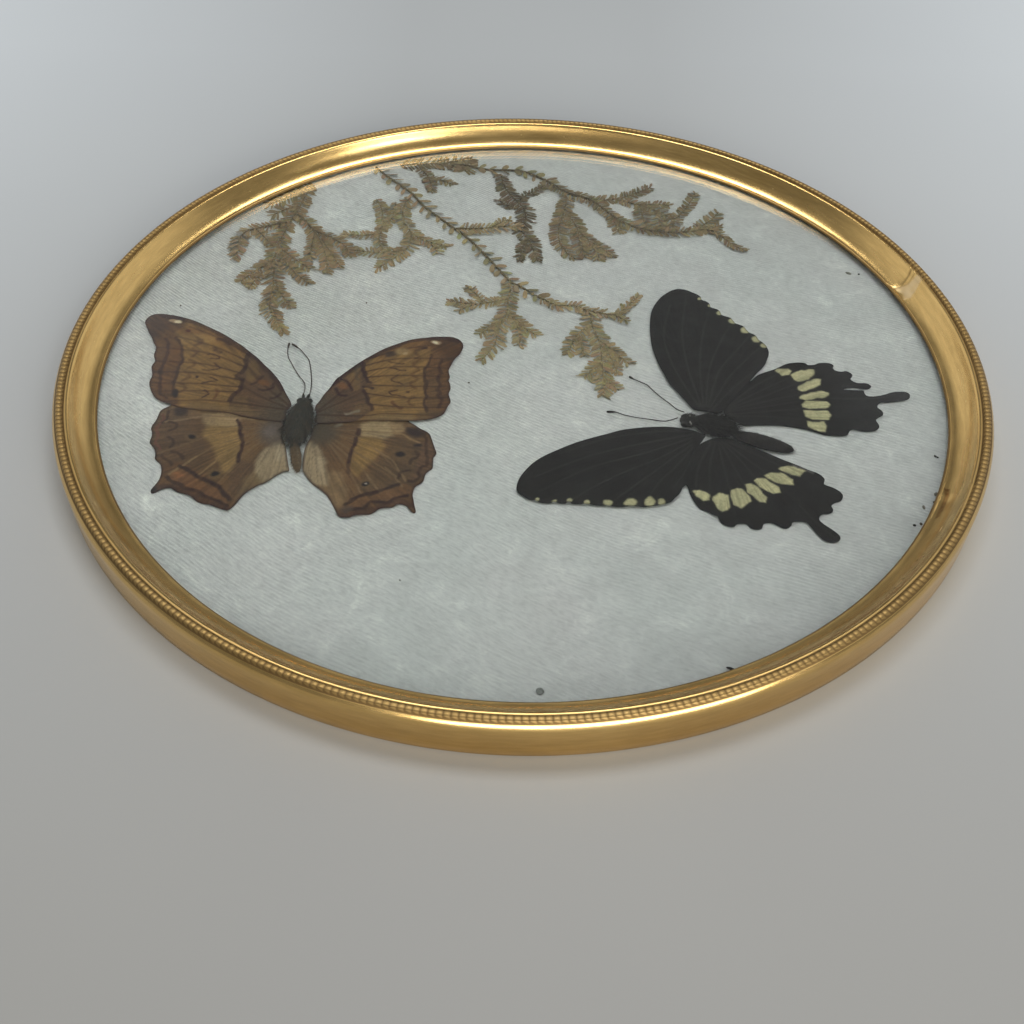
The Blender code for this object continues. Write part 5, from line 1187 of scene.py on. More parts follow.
# Black swallowtail
soot, paleScale, greyVein = (46, 45, 43), (177, 173, 134), (64, 63, 60)
sootEdge = ((40, 39, 38), 0.5, 0.5)
blackWings = {
    "black_upper_forewing": {
        "points": [(37.4, -16.0), (35.8, -13.3), (34.2, -10.4), (32.7, -7.6), (31.7, -4.4), (30.8, -1.5),
            (30.1, 1.7), (29.6, 4.9), (29.4, 8.1), (29.4, 11.4), (29.6, 14.6), (30.0, 17.8), (30.6, 20.3),
            (31.6, 22.6), (32.7, 24.6), (34.2, 26.4), (35.6, 27.7), (37.0, 28.4), (38.3, 28.4),
            (39.7, 27.9), (40.8, 27.1), (42.0, 26.2), (42.6, 25.3), (42.7, 24.2), (43.5, 23.8),
            (44.2, 23.1), (44.5, 22.3), (44.6, 21.3), (46.0, 20.6), (46.7, 19.6), (46.9, 18.4),
            (48.1, 17.7), (49.0, 17.2), (49.4, 16.2), (49.9, 15.2), (50.8, 14.7), (51.7, 14.0),
            (52.1, 13.0), (52.7, 11.8), (53.6, 11.2), (54.2, 10.4), (54.5, 9.3), (55.3, 8.2), (56.0, 7.0),
            (56.2, 5.9), (56.3, 4.9), (56.1, 3.5), (55.6, 2.1), (54.9, 0.3), (53.8, -1.5), (52.2, -3.6),
            (48.0, -10.0), (43.2, -16.6), (40.4, -16.4)],
        "root": (40.5, -17.0),
        "rays": 90,
        "streak": 0.3,
        "ground": soot,
        "edge": sootEdge,
        "veins": [(greyVein, 0.25, 0.3, 0.5, line) for line in (
            [(38.5, -15), (34, -2), (32.5, 10), (35, 22)], [(39, -15), (37, 0), (37, 12), (39, 25)],
            [(39.5, -15), (40, 0), (42, 12), (44.5, 21)], [(40, -15), (42, -2), (46, 9), (49, 15)],
            [(40.5, -15), (44, -3), (49, 5), (53, 11)], [(41, -15), (46, -5), (51, 2), (55, 7)],
            [(41.5, -15.5), (47, -8), (52, -2.5)])],
        "dabs": [(paleScale, middle, (size, size * 0.8), 45, 0.5, 0.95) for middle, size in (
            ((42.4, 24.7), 0.55), ((44.4, 22.0), 0.65), ((46.8, 19.3), 1.1), ((49.5, 16.2), 1.2),
            ((52.1, 12.7), 1.4), ((54.2, 9.4), 1.4), ((55.8, 7.1), 1.1))]},
    "black_lower_forewing": {
        "points": [(36.3, -22.5), (34.0, -22.0), (31.3, -21.7), (28.7, -21.8), (26.0, -22.1), (23.3, -22.6),
            (21.0, -23.2), (18.7, -24.2), (16.3, -25.2), (14.0, -26.2), (11.7, -27.3), (9.3, -28.7),
            (7.0, -30.2), (4.7, -31.8), (2.7, -33.7), (1.2, -35.8), (0.0, -38.0), (-0.6, -40.0),
            (-0.7, -41.7), (-0.2, -42.8), (1.0, -43.8), (2.0, -44.5), (3.2, -44.6), (4.2, -45.2),
            (6.2, -45.2), (6.8, -44.8), (8.0, -45.2), (9.2, -45.2), (9.8, -44.6), (10.5, -45.3),
            (12.0, -45.3), (13.2, -45.1), (14.7, -45.5), (16.5, -45.6), (17.8, -45.5), (19.0, -45.8),
            (20.8, -45.7), (22.2, -45.4), (23.5, -45.5), (25.0, -45.6), (27.0, -45.2), (28.8, -44.7),
            (30.3, -44.0), (31.2, -42.8), (32.0, -41.9), (32.5, -41.0), (33.0, -39.8), (33.8, -38.7),
            (34.3, -35.0), (35.8, -30.0), (39.0, -24.4), (38.0, -23.4)],
        "root": (38.5, -23.5),
        "rays": 90,
        "streak": 0.3,
        "ground": soot,
        "edge": sootEdge,
        "veins": [(greyVein, 0.25, 0.3, 0.5, line) for line in (
            [(37, -23), (28, -23.5), (18, -26), (8, -31)], [(36.5, -24), (26, -27), (14, -31.5), (3, -38)],
            [(36, -25), (26, -30), (14, -35), (4, -42)], [(36, -26), (28, -32), (18, -38), (10, -44.5)],
            [(36, -27), (30, -33), (24, -39), (18, -45)], [(36, -28), (32, -34), (28, -39), (25, -45)],
            [(36.5, -29), (34, -35), (31, -40)])],
        "dabs": [(paleScale, middle, sizes, 0, 0.5, 0.95) for middle, sizes in (
            ((3.4, -44.4), (0.4, 0.4)), ((6.9, -44.6), (0.5, 0.4)), ((9.9, -44.4), (0.5, 0.5)),
            ((13.6, -44.9), (0.6, 0.8)), ((17.7, -44.7), (0.95, 0.9)), ((22.1, -44.5), (1.2, 1.1)),
            ((26.0, -44.1), (1.05, 1.4)), ((28.4, -44.1), (0.75, 1.0)))]},
    "black_upper_hindwing": {
        "points": [(50.5, -6.0), (52.7, -3.5), (54.7, -2.3), (56.7, -1.3), (58.2, -0.3), (59.7, 0.7),
            (61.3, 1.2), (63.0, 1.4), (64.1, 1.2), (64.6, 0.6), (65.3, 0.6), (66.3, 0.8), (67.3, 1.4),
            (69.0, 1.6), (70.2, 1.2), (70.5, 0.5), (70.2, -0.3), (70.8, -1.2), (72.0, -1.4), (73.0, -1.2),
            (73.8, -1.7), (74.2, -2.5), (73.9, -3.3), (73.5, -4.0), (74.0, -4.8), (75.0, -5.3),
            (76.5, -5.3), (77.3, -5.7), (77.7, -6.3), (77.3, -7.0), (76.5, -7.4), (75.0, -7.2),
            (73.7, -6.9), (72.3, -7.0), (71.3, -7.6), (72.5, -7.7), (74.3, -7.8), (75.7, -7.9),
            (75.7, -8.8), (76.3, -9.7), (78.0, -9.7), (80.0, -9.1), (82.0, -8.2), (84.0, -7.9),
            (85.2, -8.1), (85.7, -8.8), (85.4, -10.0), (84.3, -10.8), (82.3, -11.3), (80.3, -11.7),
            (78.8, -11.8), (78.0, -12.5), (77.7, -13.5), (78.5, -14.7), (78.3, -16.0), (77.2, -16.8),
            (76.5, -17.7), (76.8, -19.0), (76.7, -20.0), (75.8, -21.0), (74.3, -21.4), (72.7, -21.3),
            (71.2, -20.8), (70.2, -21.3), (69.5, -22.5), (68.3, -23.0), (66.3, -23.0), (64.3, -22.7),
            (62.3, -21.8), (60.0, -21.0), (57.3, -20.5), (55.0, -20.2), (52.7, -20.2), (50.0, -20.3),
            (47.6, -20.5), (46.4, -19.4), (44.0, -17.6), (44.2, -13.0), (47.0, -8.6)],
        "root": (44.0, -16.5),
        "rays": 70,
        "streak": 0.28,
        "ground": soot,
        "edge": sootEdge,
        "areas": [(paleScale, 0.4, 1.0, spot) for spot in (
            [(56.9, -1.8), (57.8, -1.0), (60.1, -0.8), (60.6, -1.8), (59.8, -3.2), (58.2, -3.3)],
            [(60.2, -3.1), (61.6, -1.9), (64.6, -0.9), (65.9, -1.1), (65.6, -2.6), (64.2, -4.3),
                (61.8, -5.5), (60.7, -4.7)],
            [(61.2, -7.0), (62.8, -5.8), (65.4, -4.5), (66.7, -4.3), (66.3, -6.4), (64.6, -7.6),
                (61.9, -8.7), (61.1, -8.2)],
            [(61.2, -10.6), (62.3, -9.6), (66.4, -8.3), (67.6, -8.8), (67.7, -9.6), (66.6, -10.4),
                (62.3, -11.7), (61.1, -11.3)],
            [(61.0, -13.0), (62.2, -11.9), (66.8, -12.0), (67.6, -12.9), (66.8, -14.0), (62.4, -14.3),
                (61.3, -13.9)],
            [(61.4, -14.9), (66.6, -14.9), (67.0, -16.4), (66.2, -17.9), (62.8, -17.9), (61.3, -17.0)],
            [(61.4, -18.6), (65.4, -18.7), (65.3, -20.2), (64.7, -21.9), (63.6, -21.6), (61.5, -20.4)])],
        "veins": [(greyVein, 0.25, 0.3, 0.45, line) for line in (
            [(45, -14), (52, -7), (60, -1)], [(45, -14.5), (54, -8), (60, -4)],
            [(45, -15), (53, -10.8), (60.6, -6.4)], [(45, -15.5), (53, -12.6), (60.6, -10)],
            [(45, -16), (53, -14.2), (60.6, -12.2)], [(45, -17), (53, -15.8), (60.8, -14.6)],
            [(45, -17.6), (53, -17.4), (61, -18.2)], [(68, -11), (76, -10.6), (84.5, -9.4)])]},
    "black_lower_hindwing": {
        "points": [(32.6, -36.5), (33.9, -39.2), (34.2, -41.0), (34.6, -42.6), (35.2, -44.2), (36.1, -45.7),
            (37.4, -46.3), (38.3, -47.0), (39.3, -47.6), (39.4, -48.2), (39.9, -49.4), (41.1, -50.1),
            (42.3, -50.1), (42.8, -49.5), (43.8, -49.3), (44.8, -49.5), (45.4, -50.4), (46.4, -50.8),
            (47.6, -50.5), (48.0, -49.5), (48.5, -49.0), (49.6, -48.9), (50.8, -49.5), (51.7, -50.2),
            (52.7, -50.2), (53.6, -49.4), (53.9, -48.6), (55.2, -48.3), (56.7, -48.6), (57.4, -49.8),
            (58.2, -51.4), (59.1, -52.9), (60.2, -53.6), (61.4, -53.6), (62.3, -53.2), (62.7, -52.3),
            (62.4, -51.4), (61.4, -50.2), (60.1, -48.9), (59.4, -47.9), (59.5, -47.0), (60.2, -46.1),
            (61.4, -46.0), (62.3, -45.5), (62.6, -44.6), (62.4, -43.8), (63.2, -42.9), (64.4, -42.4),
            (65.1, -41.4), (65.2, -40.4), (64.6, -39.4), (63.5, -38.5), (62.0, -37.7), (62.3, -36.4),
            (62.0, -35.4), (61.0, -34.4), (59.4, -33.6), (57.0, -32.1), (54.6, -30.8), (52.6, -29.5),
            (50.8, -28.3), (48.5, -27.0), (45.9, -25.6), (44.3, -24.7), (40.4, -24.8), (35.5, -29.0)],
        "root": (42.5, -24.5),
        "rays": 70,
        "streak": 0.28,
        "ground": soot,
        "edge": sootEdge,
        "areas": [(paleScale, 0.4, 1.0, spot) for spot in (
            [(35.1, -40.6), (36.4, -40.3), (38.2, -41.4), (38.0, -43.2), (36.8, -43.4), (35.5, -42.0)],
            [(38.8, -42.0), (40.3, -41.1), (42.1, -41.4), (42.2, -45.0), (40.6, -46.3), (39.4, -45.4),
                (38.7, -43.2)],
            [(42.8, -40.2), (44.2, -39.4), (45.8, -40.5), (46.4, -43.0), (44.4, -45.2), (43.0, -44.2),
                (42.6, -42.0)],
            [(45.8, -38.4), (47.0, -38.0), (48.2, -39.0), (49.7, -41.8), (49.2, -43.2), (48.0, -43.0),
                (46.1, -40.4)],
            [(47.8, -37.2), (48.6, -36.4), (50.4, -36.5), (52.6, -38.9), (52.6, -40.3), (51.2, -40.8),
                (48.6, -38.9)],
            [(50.1, -35.6), (51.6, -34.6), (53.6, -34.8), (55.8, -36.6), (55.6, -38.1), (53.2, -37.9),
                (50.8, -36.4)],
            [(53.1, -33.6), (55.0, -32.6), (56.8, -32.6), (58.8, -34.0), (57.4, -35.6), (55.6, -35.2)])],
        "veins": [(greyVein, 0.25, 0.3, 0.45, line) for line in (
            [(40, -26), (36.6, -34), (35.6, -40)], [(41, -26), (39, -34), (38.4, -41)],
            [(41.5, -26), (42, -34), (42.5, -40)], [(42, -26), (44, -33), (45.6, -38.6)],
            [(42.5, -26), (46, -32), (48, -36.4)], [(43, -26), (48, -32), (50.4, -34.8)],
            [(44, -26), (50, -30), (53.6, -32.6)], [(56, -44), (59, -49), (61.5, -52.5)])],
        "strokes": [((104, 102, 96), 0.25, 0.4, 0.7, [(56.6, -32.4), (58.4, -33.2), (60.2, -34.4)])]},
}
makeWings(blackWings, wingFinish("black_wing_scales", 0.7, 0.1, (0.9, 0.92, 1.0), 0.6), "black_wing", 300)
print("black wings painted")

# Bodies and feelers
bodySizes = {
    "middle": 2.05,
    "halfDepth": 0.5,
    "voxel": 0.15,
    "highest": 2.62,            # just under the pane
    "wingTop": 2.5,
    "clothTop": 2.16,
    "hair": 0.035,              # half its width
    "shortHair": 0.9,
    "brownHairs": (2600, 900),  # on the front part and on the abdomen
    "blackHairs": (1500, 500),
}


def makeLobe(lobe):
    x, y, halfLength, halfWidth, turn = lobe
    letGo()
    bpy.ops.mesh.primitive_uv_sphere_add(segments=28, ring_count=18, radius=mm)
    ball = bpy.context.object
    ball.scale = (halfLength, halfWidth, min(bodySizes["halfDepth"], halfWidth * 0.9))
    ball.rotation_euler = (0, 0, math.radians(turn))
    ball.location = (x * mm, y * mm, bodySizes["middle"] * mm)
    settle(ball)
    return ball


def joinPieces(pieces):
    letGo()
    for piece in pieces:
        piece.select_set(True)
    bpy.context.view_layer.objects.active = pieces[0]
    bpy.ops.object.join()
    return bpy.context.object


def copyMany(pattern, frames, tones, layerName):  # one mesh with a copy of the pattern at every frame
    spots = readPlaces(pattern)
    faces = [list(face.vertices) for face in pattern.data.polygons]
    copies = np.einsum("nij,vj->nvi", frames[:, :, :3], spots) + frames[:, None, :, 3]
    mesh = bpy.data.meshes.new("copies")
    mesh.from_pydata((copies.reshape(-1, 3) * mm).tolist(), [],
                     [[v + k * len(spots) for v in face] for k in range(len(frames)) for face in faces])
    piece = bpy.data.objects.new("copies", mesh)
    bpy.context.collection.objects.link(piece)
    paintLayer(piece, layerName, tones.reshape(-1, 3))
    return piece


def putAway(pattern):
    takeHold(pattern)
    bpy.ops.object.delete()


def makeFrames(starts, ends, widths, roll):  # x runs from start to end, y across, z up
    run = ends - starts
    ahead = run / np.linalg.norm(run, axis=1)[:, None]
    side = np.cross((0.0, 0.0, 1.0), ahead)
    side /= np.linalg.norm(side, axis=1)[:, None]
    up = np.cross(ahead, side)
    side, up = (side * np.cos(roll)[:, None] + up * np.sin(roll)[:, None],
                up * np.cos(roll)[:, None] - side * np.sin(roll)[:, None])
    return np.stack([run, side * widths[:, None], up * np.minimum(widths, 1.0)[:, None], starts], -1)


def makeHair():  # one tapered hair, 1 mm long, with a slight bow
    letGo()
    bpy.ops.mesh.primitive_circle_add(vertices=3, radius=mm, fill_type="NGON",
                                      rotation=(0, math.pi / 2, 0))
    hair = bpy.context.object
    settle(hair)
    editMode(hair, "FACE")
    bpy.ops.mesh.select_all(action="SELECT")
    bpy.ops.mesh.extrude_region_move(TRANSFORM_OT_translate={"value": (0.5 * mm, 0, 0.6 * mm)})
    bpy.ops.transform.resize(value=(1.0, 0.75, 0.75))
    bpy.ops.mesh.extrude_region_move(TRANSFORM_OT_translate={"value": (0.5 * mm, 0, -0.6 * mm)})
    bpy.ops.transform.resize(value=(1.0, 0.12, 0.12))
    bpy.ops.mesh.select_all(action="SELECT")
    bpy.ops.mesh.normals_make_consistent(inside=False)
    objectMode()
    return hair


def bodyTop(flat, lobes):
    top = np.zeros(len(flat))
    for lobe in lobes:
        gap = lobeGap(flat, lobe)
        depth = min(bodySizes["halfDepth"], lobe[3] * 0.9)
        height = bodySizes["middle"] + depth * np.sqrt(np.clip(1 - gap ** 2, 0, 1))
        top = np.maximum(top, np.where(gap < 1, height, 0))
    return top


def growHairs(hair, lobe, lobes, count, reach, tail, spread, around, tones, draw):
    x, y, halfLength, halfWidth, turn = lobe
    disc = np.sqrt(draw.random(count)) * 0.97
    angle = draw.random(count) * fullTurn
    u, v = disc * np.cos(angle), disc * np.sin(angle)
    c, s = math.cos(math.radians(turn)), math.sin(math.radians(turn))
    starts = np.stack([x + u * halfLength * c - v * halfWidth * s,
                       y + u * halfLength * s + v * halfWidth * c], -1)
    outward = np.stack([-v * s, v * c], -1)
    comb = np.array(tail) + spread * outward + 0.3 * draw.normal(size=(count, 2))
    comb /= np.linalg.norm(comb, axis=1)[:, None]
    ends = starts + comb * (reach * (0.5 + 0.7 * draw.random(count)))[:, None]
    low = np.maximum(bodyTop(starts, lobes) - 0.05, 1.9)
    high = np.maximum(bodyTop(ends, lobes), around) + 0.05 * draw.random(count)
    starts = np.column_stack([starts, np.minimum(low, bodySizes["highest"] - 0.06)])
    ends = np.column_stack([ends, np.minimum(high, bodySizes["highest"] - 0.03)])
    frames = makeFrames(starts, ends, bodySizes["hair"] * (0.7 + 0.6 * draw.random(count)),
                        draw.random(count))
    pick = draw.integers(0, len(tones), count)
    tones = surfaceTone(np.array(tones)[pick]) * (0.75 + 0.5 * draw.random(count))[:, None]
    shaded = np.repeat(tones[:, None], len(hair.data.vertices), 1)
    return copyMany(hair, frames, shaded, "coat")


def furFinish(name):
    finish, tree, shader = newFinish(name, 0.7)
    shader.inputs["Sheen Weight"].default_value = 0.2
    shader.inputs["Sheen Roughness"].default_value = 0.4
    shader.inputs["Specular IOR Level"].default_value = 0.35
    where = objectPlaces(tree)
    tone = addNode(tree, "Attribute", attribute_name="coat").outputs["Color"]
    downy = noise(tree, where, 3200.0, 3.0, 0.7)
    mottled = ramp(tree, downy, [(0.28, (0.6, 0.6, 0.6)), (0.7, (1.35, 1.35, 1.35))])
    tree.links.new(mixColour(tree, 1.0, tone, mottled, "MULTIPLY"), shader.inputs["Base Color"])
    tree.links.new(mapRange(tree, downy, 0.3, 0.7, 0.6, 0.85), shader.inputs["Roughness"])
    bump(tree, shader, downy, 0.5, 0.00006)
    return finish


def makeBody(node, lobes, tail, coat, slot, seed):
    core = joinPieces([makeLobe(lobe) for lobe in lobes])
    applyModifier(core, "REMESH", mode="VOXEL", voxel_size=bodySizes["voxel"] * mm, adaptivity=0.0)
    places = readPlaces(core)
    flat = places[:, :2]
    belly = lobeGap(flat, lobes[2]) < 1.02
    along = (flat - np.array(lobes[2][:2])) @ np.array(tail)
    places[:, 2] -= np.where(belly, 0.05 * (0.5 + 0.5 * np.cos(along * fullTurn / 1.15)), 0)
    writePlaces(core, places)
    tones = np.tile(surfaceTone(coat["front"][0]), (len(flat), 1))
    blendIn(tones, np.clip(1.15 - lobeGap(flat, lobes[2]), 0, 0.2) * 5, coat["belly"][0])
    blendIn(tones, np.where(belly, 0.5 * (0.5 + 0.5 * np.cos(along * fullTurn / 1.15)), 0), coat["groove"])
    for tone, middle, sizes, turn in coat["marks"]:
        blendIn(tones, fade(np.maximum(lobeGap(flat, (*middle, *sizes, turn)) - 0.7, 0), 0.5), tone)
    paintLayer(core, "coat", tones)
    draw = np.random.default_rng(seed)
    hair = makeHair()
    front, belly = bodySizes[node.split("_")[0] + "Hairs"]
    onWings, onCloth, short = bodySizes["wingTop"], bodySizes["clothTop"], bodySizes["shortHair"]
    patches = [(lobes[0], front, coat["reach"], coat["spread"], onWings, coat["front"]),
               (lobes[1], front // 4, short, 0.8, onWings, coat["front"]),
               (lobes[2], belly, short, 0.35, onCloth, coat["belly"])]
    coats = [growHairs(hair, lobe, lobes, count, reach, tail, spread, around, tones, draw)
             for lobe, count, reach, spread, around, tones in patches]
    putAway(hair)
    body = joinPieces([core] + coats)
    takeHold(body)
    bpy.ops.object.shade_smooth_by_angle(angle=math.radians(60))
    dress(body, node + "_hairs", slot, furFinish(node + "_fur"), node)


brownCoat = {
    "front": [(58, 59, 54), (74, 71, 63), (88, 78, 62), (64, 62, 56)],
    "belly": [(112, 94, 70), (92, 78, 60)],
    "groove": (72, 60, 48),
    "reach": 2.3,
    "spread": 0.7,
    "marks": [
        ((38, 32, 28), (-48.5, -16.1), (0.6, 0.5), 0),
        ((38, 32, 28), (-46.4, -16.1), (0.6, 0.5), 0),
        ((128, 112, 88), (-46.0, -34.0), (3.4, 0.25), -76.5)],
}
blackCoat = {
    "front": [(50, 49, 46), (60, 58, 54), (42, 41, 40)],
    "belly": [(50, 48, 45), (58, 56, 52)],
    "groove": (38, 37, 36),
    "reach": 2.0,
    "spread": 0.9,
    "marks": [
        ((170, 168, 158), (36.4, -17.7), (0.18, 0.7), -12),
        ((170, 168, 158), (36.2, -20.3), (0.18, 0.6), 12),
        ((150, 148, 140), (38.2, -17.2), (0.3, 0.2), 0)],
}
brownHead = [(-48.4, -16.0, 0.8, 0.7, 0.0), (-46.4, -16.0, 0.8, 0.7, 0.0), (-47.9, -14.7, 1.1, 0.35, 100.0),
             (-46.9, -14.7, 1.1, 0.35, 80.0)]
blackHead = [(35.2, -17.9, 0.9, 0.7, 20.0), (35.0, -20.5, 0.9, 0.7, -20.0)]
makeBody("brown_body", brownLobes + brownHead, (0.0, -1.0), brownCoat, "brown_hair", 401)
makeBody("black_body", blackLobes + blackHead, (0.932, -0.362), blackCoat, "black_hair", 402)
print("bodies furred")

feelerSizes = {
    "level": 2.28,
    "thread": 0.11,
    "club": 0.24,
    "clubStart": 0.86,
}
feelers = {
    "brown_left_antenna": [(-48.0, -14.5), (-47.9, -12.7), (-48.3, -10.3), (-49.7, -8.2), (-51.0, -6.0),
        (-52.3, -3.5), (-53.2, -1.7), (-53.7, 0.2), (-53.9, 2.0), (-53.9, 3.6)],
    "brown_right_antenna": [(-46.6, -14.5), (-46.6, -12.0), (-46.8, -9.7), (-47.3, -7.0), (-47.8, -4.7),
        (-48.5, -2.3), (-49.5, -0.7), (-50.7, 1.0), (-51.8, 2.2), (-53.2, 3.3)],
    "black_upper_antenna": [(35.2, -16.7), (33.6, -15.8), (32.2, -14.0), (30.4, -11.9), (28.6, -9.4),
        (27.6, -7.9), (26.1, -6.9), (24.7, -6.0), (23.8, -5.2)],
    "black_lower_antenna": [(33.6, -18.6), (32.0, -19.4), (30.3, -19.8), (27.3, -19.3), (25.3, -19.0),
        (23.7, -18.6), (22.0, -18.1), (20.3, -17.3), (18.3, -17.2)],
}


def makeThreads(lines, sides=2):  # every line is places and radii in millimetres
    curve = bpy.data.curves.new("threads", "CURVE")
    curve.dimensions = "3D"
    curve.bevel_depth = mm
    curve.bevel_resolution = sides
    curve.use_fill_caps = True
    for places, radii in lines:
        spline = curve.splines.new("POLY")
        spline.points.add(len(places) - 1)
        for point, place, radius in zip(spline.points, places, radii):
            point.co = (place[0] * mm, place[1] * mm, place[2] * mm, 1.0)
            point.radius = radius
    threads = bpy.data.objects.new("threads", curve)
    bpy.context.collection.objects.link(threads)
    takeHold(threads)
    bpy.ops.object.convert(target="MESH")
    return bpy.context.object


def makeFeelers():
    finishes = {"brown": furFinish("brown_feeler"), "black": furFinish("black_feeler")}
    tones = {"brown": (72, 62, 52), "black": (54, 51, 47)}
    for node, line in feelers.items():
        kind = node.split("_")[0]
        flat = smoothOutline(line, 5, False)
        share = np.linspace(0, 1, len(flat))
        swell = np.clip((share - feelerSizes["clubStart"]) / (1 - feelerSizes["clubStart"]), 0, 1)
        radii = feelerSizes["thread"] + (feelerSizes["club"] - feelerSizes["thread"]) * np.sin(swell * 2.4)
        places = [(x, y, feelerSizes["level"]) for x, y in flat]
        feeler = makeThreads([(places, radii)])
        count = len(feeler.data.vertices)
        joints = 0.85 + 0.15 * np.cos(readPlaces(feeler)[:, 1] * fullTurn / 0.5)
        paintLayer(feeler, "coat", surfaceTone(tones[kind]) * joints.reshape(count, 1))
        bpy.ops.object.shade_smooth_by_angle(angle=math.radians(60))
        dress(feeler, node + "_thread", kind + "_hair", finishes[kind], node)


makeFeelers()
print("feelers drawn")

# Pressed fern sprigs, each leaflet a copy of one
fernSizes = {
    "low": 2.15, "middle": 2.34, "high": 2.53,
    "stem": 0.34, "stemTip": 0.13, "lowStem": 0.16, "highStem": 0.3,
    "curl": 0.07,
}
leafletKinds = {                # a leaf's length is a share of its branch's reach, lean is in degrees
    "leaf": {"pitch": 0.86, "lean": 62.0, "length": 1.32, "width": 1.9, "lift": 0.0},
    "scale": {"pitch": 1.25, "lean": 20.0, "length": 0.9, "width": 1.5, "lift": 0.05},
    "thorn": {"pitch": 3.3, "lean": 50.0, "length": 3.3, "width": 3.4, "lift": 0.01},
}
fernTones = {
    "left": ((142, 126, 96), (98, 88, 66)),
    "middle": ((150, 137, 106), (104, 95, 72)),
    "top": ((134, 121, 94), (94, 85, 66)),
    "dark": ((112, 102, 80), (78, 71, 57)),
}
